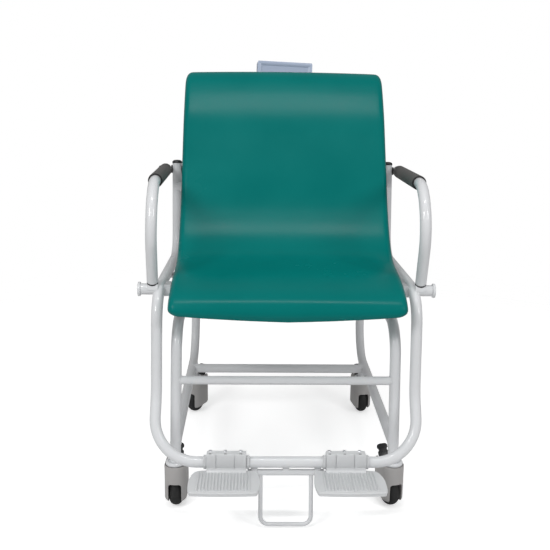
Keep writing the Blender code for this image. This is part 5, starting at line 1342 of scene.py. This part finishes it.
class SCALE_OT_footplates(bpy.types.Operator):
    """Model the ribbed footplates with their hinge leaves, clamps and collars"""
    bl_idname = "chair_scale.footplates"
    bl_label = "Footplates"

    def execute(self, context):
        sizes = context.scene.scale_footrests
        bore = context.scene.scale_tubes.radius + FIT
        for side, sign in SIDES:
            hinge = joint_point(f"footplate_fold_{side}")
            body = f"footrest_{side}"
            lean = (Matrix.Translation(hinge + Vector((0, -sizes.rear, -sizes.drop)))
                    @ Matrix.Rotation(-sizes.tilt, 4, "X"))
            plate = placed(self.plate(sizes, sign), lean)
            finish(plate, f"ribbed_plate_{side}", "footplate_plastic", body, f"footplate_{side}")
            ribs = placed(self.ribs(sizes, sign), lean)
            finish(ribs, f"plate_ribs_{side}", "footplate_plastic", body)
            at_hinge = Matrix.Translation(hinge)
            leaf = placed(self.leaf(sizes, bore), at_hinge)
            finish(leaf, f"hinge_leaf_{side}", "footplate_plastic", body)
            clamp = placed(self.clamp(sizes, bore), at_hinge)
            finish(clamp, f"hinge_clamp_{side}", "footplate_plastic", body,
                   f"footplate_clamp_{side}")
            self.fasteners(sizes, side, body, hinge)
            for place in ("inner", "outer"):
                collar = self.collar(sizes, bore, *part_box(f"footrest_collar_{side}_{place}"))
                finish(collar, f"stop_collar_{side}_{place}", "footplate_plastic", "root",
                       f"footrest_collar_{side}_{place}")
        return {"FINISHED"}

    @staticmethod
    def fasteners(sizes, side, body, hinge):
        """Screws of the clamp and the nuts ahead of them."""
        top, nut = sizes.leaf_top, sizes.nut
        spots = [sizes.leaf * share for share in SCREW_SHARES]
        screws = [dome_screw(hinge + Vector((x, sizes.screw_row, top - sizes.slot)), (0, 0, 1),
                             sizes.screw) for x in spots]
        finish(join(screws), f"hinge_screws_{side}", "aluminium", body)
        low = -Vector((nut, sizes.nut_row + nut * 0.8, sizes.nut_groove + sizes.slot / 2))
        high = Vector((nut, nut * 0.8 - sizes.nut_row, sizes.slot))
        nuts = [block(hinge + Vector((x, 0, top)) + low, hinge + Vector((x, 0, top)) + high,
                      nut / 5, 2) for x in spots]
        finish(join(nuts), f"hinge_nuts_{side}", "dark_plastic", body)

    @staticmethod
    def plate(sizes, sign):
        """Plate in its own frame: top at Z = 0, rear edge at Y = 0."""
        outer = smooth_line([Vector((sign * half, -deep, 0)) for deep, half in OUTER_SIDE], 4)
        inner = smooth_line([Vector((-sign * half, -deep, 0)) for deep, half in INNER_SIDE], 4)
        bulge = [Vector((sign * x, drawn_back - sizes.depth, 0)) for x, drawn_back in FRONT_SIDE]
        front = smooth_line([outer[-1], *bulge, inner[-1]], 4)
        piece = polygon([*outer, *front[1:-1], *reversed(inner)])
        thicken((0, 0, -sizes.lip))
        pick(piece, "FACE", lambda face: abs(face.calc_center_median().z + sizes.lip) < MERGE
             and len(face.verts) > 8)
        bpy.ops.mesh.inset(thickness=sizes.step)
        extrude((0, 0, sizes.lip - sizes.thick))
        leave(piece)
        return cleaned(round_edges(piece, sizes.edge, 3))

    @staticmethod
    def ribs(sizes, sign):
        """Raised ribs from the hinge to the smooth border, in the plate's own frame."""
        half_span = (sizes.ribs - 1) / 2
        made = []
        for index in range(sizes.ribs):
            x = sign * sizes.rib_shift + (index - half_span) * sizes.rib_pitch
            made.append(block((x - sizes.rib_half, -sizes.rib_end, -sizes.rib_rise),
                              (x + sizes.rib_half, -sizes.rib_start, sizes.rib_rise),
                              sizes.rib_edge, 2))
        return join(made)

    @staticmethod
    def hinge_half(sizes, bore, profile):
        """Half of the hinge block from its side outline, with the bar's bore cut out."""
        half = sizes.leaf / 2
        piece = polygon([(-half, y, z) for y, z in profile])
        extrude((sizes.leaf, 0, 0))
        leave(piece)
        return cut(piece, rod((-half * 1.1, 0, 0), (half * 1.1, 0, 0), bore, sides=64))

    def leaf(self, sizes, bore):
        """Front half of the hinge block, with its skirt, its grooves and its nut slot."""
        top, front, toe, ridge = sizes.leaf_top, sizes.leaf_front, sizes.leaf_toe, sizes.leaf_ridge
        floor, slot = sizes.leaf_lift - sizes.drop, top - sizes.nut_groove
        piece = self.hinge_half(sizes, bore, [
            (-FIT, top), (-front * 0.2526, top), (-front * 0.2526, slot),
            (-front * 0.8158, slot), (-front * 0.8421, top + ridge * 0.81),
            (-front * 0.9053, top + ridge), (-front, top + ridge * 0.762),
            (-front, floor + toe * 1.24), (-front - toe * 0.24, floor + toe * 0.6),
            (-front - toe * 0.92, floor + toe * 0.08), (-front - toe, floor - toe * 0.9),
            (-sizes.rear, -sizes.drop - toe * 1.1), (-FIT, -sizes.drop)])
        line = sizes.leaf_line
        for share in LINE_SHARES:
            x = sizes.leaf * share
            cut(piece, block((x - line, -front - line * 0.8, -line * 7.5),
                             (x + line, line * 2.2 - front, top + line * 5.2)))
        cut(piece, block((-sizes.leaf, -front - line * 0.6, -line * 5.4),
                         (sizes.leaf, line / 2 - front, -line * 4.6)))
        return round_edges(piece, sizes.block_edge, 2, 40)

    def clamp(self, sizes, bore):
        """Rear half of the hinge block, which carries the screws."""
        deep, top = sizes.clamp_rear, sizes.leaf_top
        piece = self.hinge_half(sizes, bore, [
            (FIT, top), (deep * 0.5882, top), (deep * 0.6588, top - deep * 0.0706),
            (deep * 0.6588, deep * 0.7059), (deep, deep * 0.5294), (deep, -deep * 0.4706),
            (deep * 0.8235, -sizes.drop), (FIT, -sizes.drop)])
        return round_edges(piece, sizes.block_edge, 2, 40)

    @staticmethod
    def collar(sizes, bore, low, high):
        """Stop ring on the bar, with a flat boss on its front."""
        wide, inset = high.x - low.x, sizes.collar_edge / 6
        place = (low.x, FOOT_BAR.y, FOOT_BAR.z)
        ring = turned([(bore, 0), *rounded(sizes.collar, 0, wide, sizes.collar_edge),
                       (bore, wide)], place, (1, 0, 0), sides=48, bore=True)
        boss = block((low.x + inset, FOOT_BAR.y - sizes.boss, FOOT_BAR.z - sizes.boss_low),
                     (high.x - inset, FOOT_BAR.y - sizes.boss_rear, FOOT_BAR.z + sizes.boss_top),
                     sizes.boss_edge)
        over = Vector((OVERRUN, 0, 0))
        cut(boss, rod(Vector(place) - over, Vector(place) + Vector((wide, 0, 0)) + over, bore,
                      sides=64))
        return combine(ring, "UNION", boss)


class SCALE_OT_tip_guard(bpy.types.Operator):
    """Bend the loop under the foot bar and hang it on its three tabs"""
    bl_idname = "chair_scale.tip_guard"
    bl_label = "Tip guard"

    def execute(self, context):
        sizes, tubes = context.scene.scale_footrests, context.scene.scale_tubes
        low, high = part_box("tip_guard")
        bar_y, bar_z = FOOT_BAR.y + sizes.guard_behind, FOOT_BAR.z - sizes.guard_drop
        low_y = FOOT_BAR.y - sizes.guard_ahead
        bar = rod((low.x, bar_y, bar_z), (high.x, bar_y, bar_z), sizes.guard_bar,
                  edge=sizes.guard_edge)
        half = sizes.guard_half
        loop = bent_tube([(half, bar_y, bar_z), (half, low_y, sizes.guard_low),
                          (-half, low_y, sizes.guard_low), (-half, bar_y, bar_z)],
                         [sizes.guard_bend] * 2, sizes.guard_rod, sides=20, steps=10)
        top = FOOT_BAR.z - tubes.radius + OVERLAP * 2
        tabs = [block((x - sizes.tab_half, bar_y - sizes.tab_front, bar_z),
                      (x + sizes.tab_half, bar_y + sizes.tab_rear, top), sizes.tab_edge)
                for x in (-sizes.tab_spread, 0, sizes.tab_spread)]
        finish(join([bar, loop, *tabs]), "welded_tip_guard", "white_powder_coat", "root",
               "tip_guard")
        return {"FINISHED"}


def display_place():
    """Matrix from the display's own frame, Y to the rear, to its place."""
    right = Vector(JOINTS["display_tilt"]["axis"])
    back = Vector(JOINTS["key_press_1"]["axis"])
    turn = Matrix((right, back, right.cross(back))).transposed().to_4x4()
    return Matrix.Translation(joint_point("display_tilt")) @ turn


class SCALE_OT_display(bpy.types.Operator):
    """Finish the display: shells, window, keys and board"""
    bl_idname = "chair_scale.display"
    bl_label = "Display"

    def execute(self, context):
        sizes = context.scene.scale_display
        place = display_place()
        front = -sizes.back - sizes.depth
        low = sizes.up - sizes.height
        shell = refined("display_front_shell", sizes.edge)
        inner = sizes.half - sizes.border
        panel = block((-inner, front - OVERRUN, low + sizes.border),
                      (inner, front + sizes.recess, sizes.up - sizes.border),
                      sizes.panel_corner, 4)
        cut(shell, placed(panel, place))
        finish(shell, "display_face_shell", "display_plastic", "display", "display_front_shell")
        finish(refined("display_rear_shell", sizes.rear_edge), "display_back_shell",
               "display_plastic", "display", "display_rear_shell")
        finish(refined("display_lens", sizes.lens_edge, 2), "display_reading_window",
               "display_window", "display", "display_lens")
        for index in (1, 2, 3):
            key = refined(f"display_key_{index}", sizes.key_edge)
            finish(key, f"press_key_{index}", "key_plastic", f"key_{index}",
                   f"display_key_{index}")
        board = NODES["display_board"].data.materials
        board.clear()
        board.append(MATERIALS["circuit_board"])
        return {"FINISHED"}


# Soft lamps: name, place, aim, width and height in metres, power in watts
LAMPS = (("key_light", (-1.6, -2.2, 2.2), (0, 0, 0.55), (0.9, 0.9), 34),
         ("fill_light", (1.8, -2.0, 2.0), (0, 0, 0.55), (0.8, 0.8), 20),
         ("top_light", (0, -1.85, 5.0), (0, 0.1, 0.7), (2.6, 0.34), 66))
ROOM_LIGHT = 0.34              # strength of the white room on the object
FLOOR_RADIUS = 2.6
FLOOR_FADE = (0.9, 2.4)        # radii where the floor starts to fade and is gone
FLOOR_TONE = (0.86, 0.86, 0.86, 1)
FLOOR_GLOW = 0.55              # that lifts the floor to white for the camera
# The photograph's camera: lens and sensor in millimetres, place in metres, turns in degrees
LENS, SENSOR = 55.64, 36
CAMERA_X, CAMERA_AHEAD, CAMERA_Z = -0.0738, 1.7467, 0.9911
CAMERA_PITCH, CAMERA_YAW, CAMERA_ROLL = 13.24, 1.44, 0.7162


class SCALE_OT_stage(bpy.types.Operator):
    """Set the pale floor, the soft studio light and the camera"""
    bl_idname = "chair_scale.stage"
    bl_label = "Stage"

    def execute(self, context):
        scene = context.scene
        scene.view_settings.view_transform = "Standard"
        self.world(scene)
        self.floor()
        for values in LAMPS:
            self.lamp(scene, *values)
        self.camera(scene)
        return {"FINISHED"}

    @staticmethod
    def world(scene):
        """Plain soft light, and white to the camera and in reflections."""
        world = bpy.data.worlds.new("studio")
        world.use_nodes = True
        tree = world.node_tree
        background = tree.nodes["Background"]
        background.inputs["Color"].default_value = (1, 1, 1, 1)
        path = tree.nodes.new("ShaderNodeLightPath")
        seen = add_node(tree, "Math", [(path.outputs["Is Camera Ray"], 0),
                                       (path.outputs["Is Transmission Ray"], 1)],
                        operation="MAXIMUM")
        strength = add_node(tree, "MapRange", [(seen.outputs[0], "Value")], to_min=ROOM_LIGHT,
                            to_max=1.0)
        tree.links.new(strength.outputs["Result"], background.inputs["Strength"])
        scene.world = world

    @staticmethod
    def floor():
        """A round floor that fades into the white behind it and keeps the shadow."""
        floor = begin(bpy.ops.mesh.primitive_circle_add, vertices=96, radius=FLOOR_RADIUS,
                      fill_type="NGON")
        bpy.ops.object.mode_set(mode="OBJECT")
        floor.name = "floor"
        material = bpy.data.materials.new("floor")
        material.use_nodes = True
        tree = material.node_tree
        shader = tree.nodes["Principled BSDF"]
        shader.inputs["Base Color"].default_value = FLOOR_TONE
        shader.inputs["Roughness"].default_value = 0.7
        shader.inputs["Specular IOR Level"].default_value = 0.0
        shader.inputs["Emission Color"].default_value = (1, 1, 1, 1)
        path = tree.nodes.new("ShaderNodeLightPath")
        glow = add_node(tree, "MapRange", [(path.outputs["Is Camera Ray"], "Value")],
                        to_max=FLOOR_GLOW)
        tree.links.new(glow.outputs["Result"], shader.inputs["Emission Strength"])
        place = tree.nodes.new("ShaderNodeTexCoord")
        reach = add_node(tree, "VectorMath", [(place.outputs["Object"], 0)], operation="LENGTH")
        start, end = FLOOR_FADE
        fade = add_node(tree, "MapRange", [(reach.outputs["Value"], "Value")], from_min=start,
                        from_max=end, to_min=1.0, to_max=0.0)
        tree.links.new(fade.outputs["Result"], shader.inputs["Alpha"])
        floor.data.materials.append(material)

    @staticmethod
    def lamp(scene, name, place, aim, size, power):
        """A soft rectangular lamp turned towards a point."""
        light = bpy.data.lights.new(name, "AREA")
        light.shape = "RECTANGLE"
        light.size, light.size_y = size
        light.energy = power
        lamp = bpy.data.objects.new(name, light)
        lamp.location = place
        lamp.rotation_euler = (Vector(aim) - Vector(place)).to_track_quat("-Z", "Y").to_euler()
        scene.collection.objects.link(lamp)

    @staticmethod
    def camera(scene):
        """The photograph's camera."""
        data = bpy.data.cameras.new("camera")
        data.lens, data.sensor_width = LENS, SENSOR
        camera = bpy.data.objects.new("camera", data)
        place = Vector((CAMERA_X, FOOT_BAR.y - CAMERA_AHEAD, CAMERA_Z))
        pitch, yaw, roll = (math.radians(turn) for turn in (CAMERA_PITCH, CAMERA_YAW, CAMERA_ROLL))
        ahead = Vector((math.sin(yaw) * math.cos(pitch), math.cos(yaw) * math.cos(pitch),
                        -math.sin(pitch)))
        right = Vector((math.cos(yaw), -math.sin(yaw), 0))
        turn = Matrix((right, right.cross(ahead), -ahead)).transposed().to_4x4()
        camera.matrix_world = Matrix.Translation(place) @ turn @ Matrix.Rotation(roll, 4, "Z")
        scene.collection.objects.link(camera)
        scene.camera = camera


STEPS = (SCALE_OT_finishes, SCALE_OT_side_frames, SCALE_OT_crossbars, SCALE_OT_side_tubes,
         SCALE_OT_front_hoop, SCALE_OT_weighing_unit, SCALE_OT_seat, SCALE_OT_shell,
         SCALE_OT_back_support, SCALE_OT_arms, SCALE_OT_castors, SCALE_OT_footplates,
         SCALE_OT_tip_guard, SCALE_OT_display, SCALE_OT_stage)


class SCALE_PT_panel(bpy.types.Panel):
    """Sizes and steps of the chair scale"""
    bl_idname = "SCALE_PT_panel"
    bl_label = "Digital Chair Scale"
    bl_space_type = "VIEW_3D"
    bl_region_type = "UI"
    bl_category = "Chair Scale"

    def draw(self, context):
        for step in STEPS:
            self.layout.operator(step.bl_idname)
        for holder, group in SIZE_GROUPS.items():
            box = self.layout.box()
            for name in group.__annotations__:
                box.prop(getattr(context.scene, holder), name)


def register():
    for holder, group in SIZE_GROUPS.items():
        bpy.utils.register_class(group)
        setattr(bpy.types.Scene, holder, bpy.props.PointerProperty(type=group))
    for item in (*STEPS, SCALE_PT_panel):
        bpy.utils.register_class(item)


def unregister():
    for item in (SCALE_PT_panel, *reversed(STEPS)):
        bpy.utils.unregister_class(item)
    for holder, group in SIZE_GROUPS.items():
        delattr(bpy.types.Scene, holder)
        bpy.utils.unregister_class(group)


def main():
    """Make the whole scale."""
    register()
    for step in STEPS:
        getattr(bpy.ops.chair_scale, step.bl_idname.split(".")[1])()


if __name__ == "__main__":
    main()
